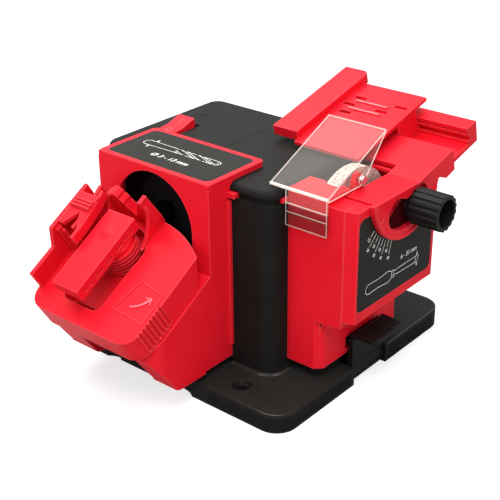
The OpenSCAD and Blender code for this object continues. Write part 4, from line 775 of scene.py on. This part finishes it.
def stand(made, right, up, back, place):
    """Puts a lamp or the camera into the scene at place (m), its own three axes along right, up and
    back."""
    made.matrix_world = Matrix([[right[i], up[i], back[i], place[i]] for i in range(3)] + [[0, 0, 0, 1]])
    scene.collection.objects.link(made)


def studio_light():
    """Plain soft light: a dim room that is seen as white, a broad lamp above and to the left, whose
    sheen lies on every upper face, and three weaker ones in front. Each lamp's axes come from its place
    and its aim."""
    world = bpy.data.worlds.new("studio")
    scene.world = world
    world.use_nodes = True
    t = world.node_tree
    t.nodes.clear()
    room = add(t, "ShaderNodeBackground", {"Color": (1, 1, 1, 1), "Strength": 0.3})
    white = add(t, "ShaderNodeBackground", {"Color": (1, 1, 1, 1), "Strength": 1.0})
    pick = add(t, "ShaderNodeMixShader", {"Fac": seen_directly(t, True)})
    t.links.new(room.outputs[0], pick.inputs[1])
    t.links.new(white.outputs[0], pick.inputs[2])
    out = add(t, "ShaderNodeOutputWorld")
    t.links.new(pick.outputs["Shader"], out.inputs["Surface"])
    for name, place, aim, size, power in (
            ("overhead", (-0.4, 0.1, 1.05), (0.0, 0.0, 0.1), 1.0, 17.0),
            ("left_fill", (-0.2, -1.2, 0.6), (0.0, 0.0, 0.1), 0.8, 4.4),
            ("right_fill", (1.2, -0.2, 0.6), (0.0, 0.0, 0.1), 0.8, 5.0),
            ("front_fill", (0.45, -0.6, 1.15), (0.0, 0.0, 0.05), 0.5, 9.0)):
        lamp = bpy.data.lights.new(name, "AREA")
        lamp.size = size
        lamp.energy = power
        made = bpy.data.objects.new(name, lamp)
        way = np.array(aim) - np.array(place)
        way = way / np.linalg.norm(way)
        side = np.cross(way, (0.0, 0.0, 1.0))
        side = side / np.linalg.norm(side)
        stand(made, side, np.cross(side, way), -way, place)


studio_light()


def photo_camera():
    """The photograph's view: a camera at a fitted place that looks along an azimuth and a fall,
    slightly rolled; the focal length in image pixels gives the lens on a 36 mm sensor."""
    place = np.array([458.1, -551.0, 424.6]) * MM
    azimuth, fall, roll = np.radians([40.287, 26.5325, -0.52])
    focal_px, image_px, sensor = 1090.6, 500.0, 36.0
    right = np.array([np.cos(azimuth), np.sin(azimuth), 0.0])
    ahead = np.array([-np.sin(azimuth) * np.cos(fall), np.cos(azimuth) * np.cos(fall), -np.sin(fall)])
    up = np.cross(right, ahead)
    side = np.cos(roll) * right + np.sin(roll) * up
    top = -np.sin(roll) * right + np.cos(roll) * up
    lens = bpy.data.cameras.new("photo_camera")
    lens.sensor_width = sensor
    lens.lens = focal_px / image_px * sensor
    lens.clip_start = 0.01
    made = bpy.data.objects.new("photo_camera", lens)
    stand(made, side, top, -ahead, place)
    scene.camera = made


photo_camera()
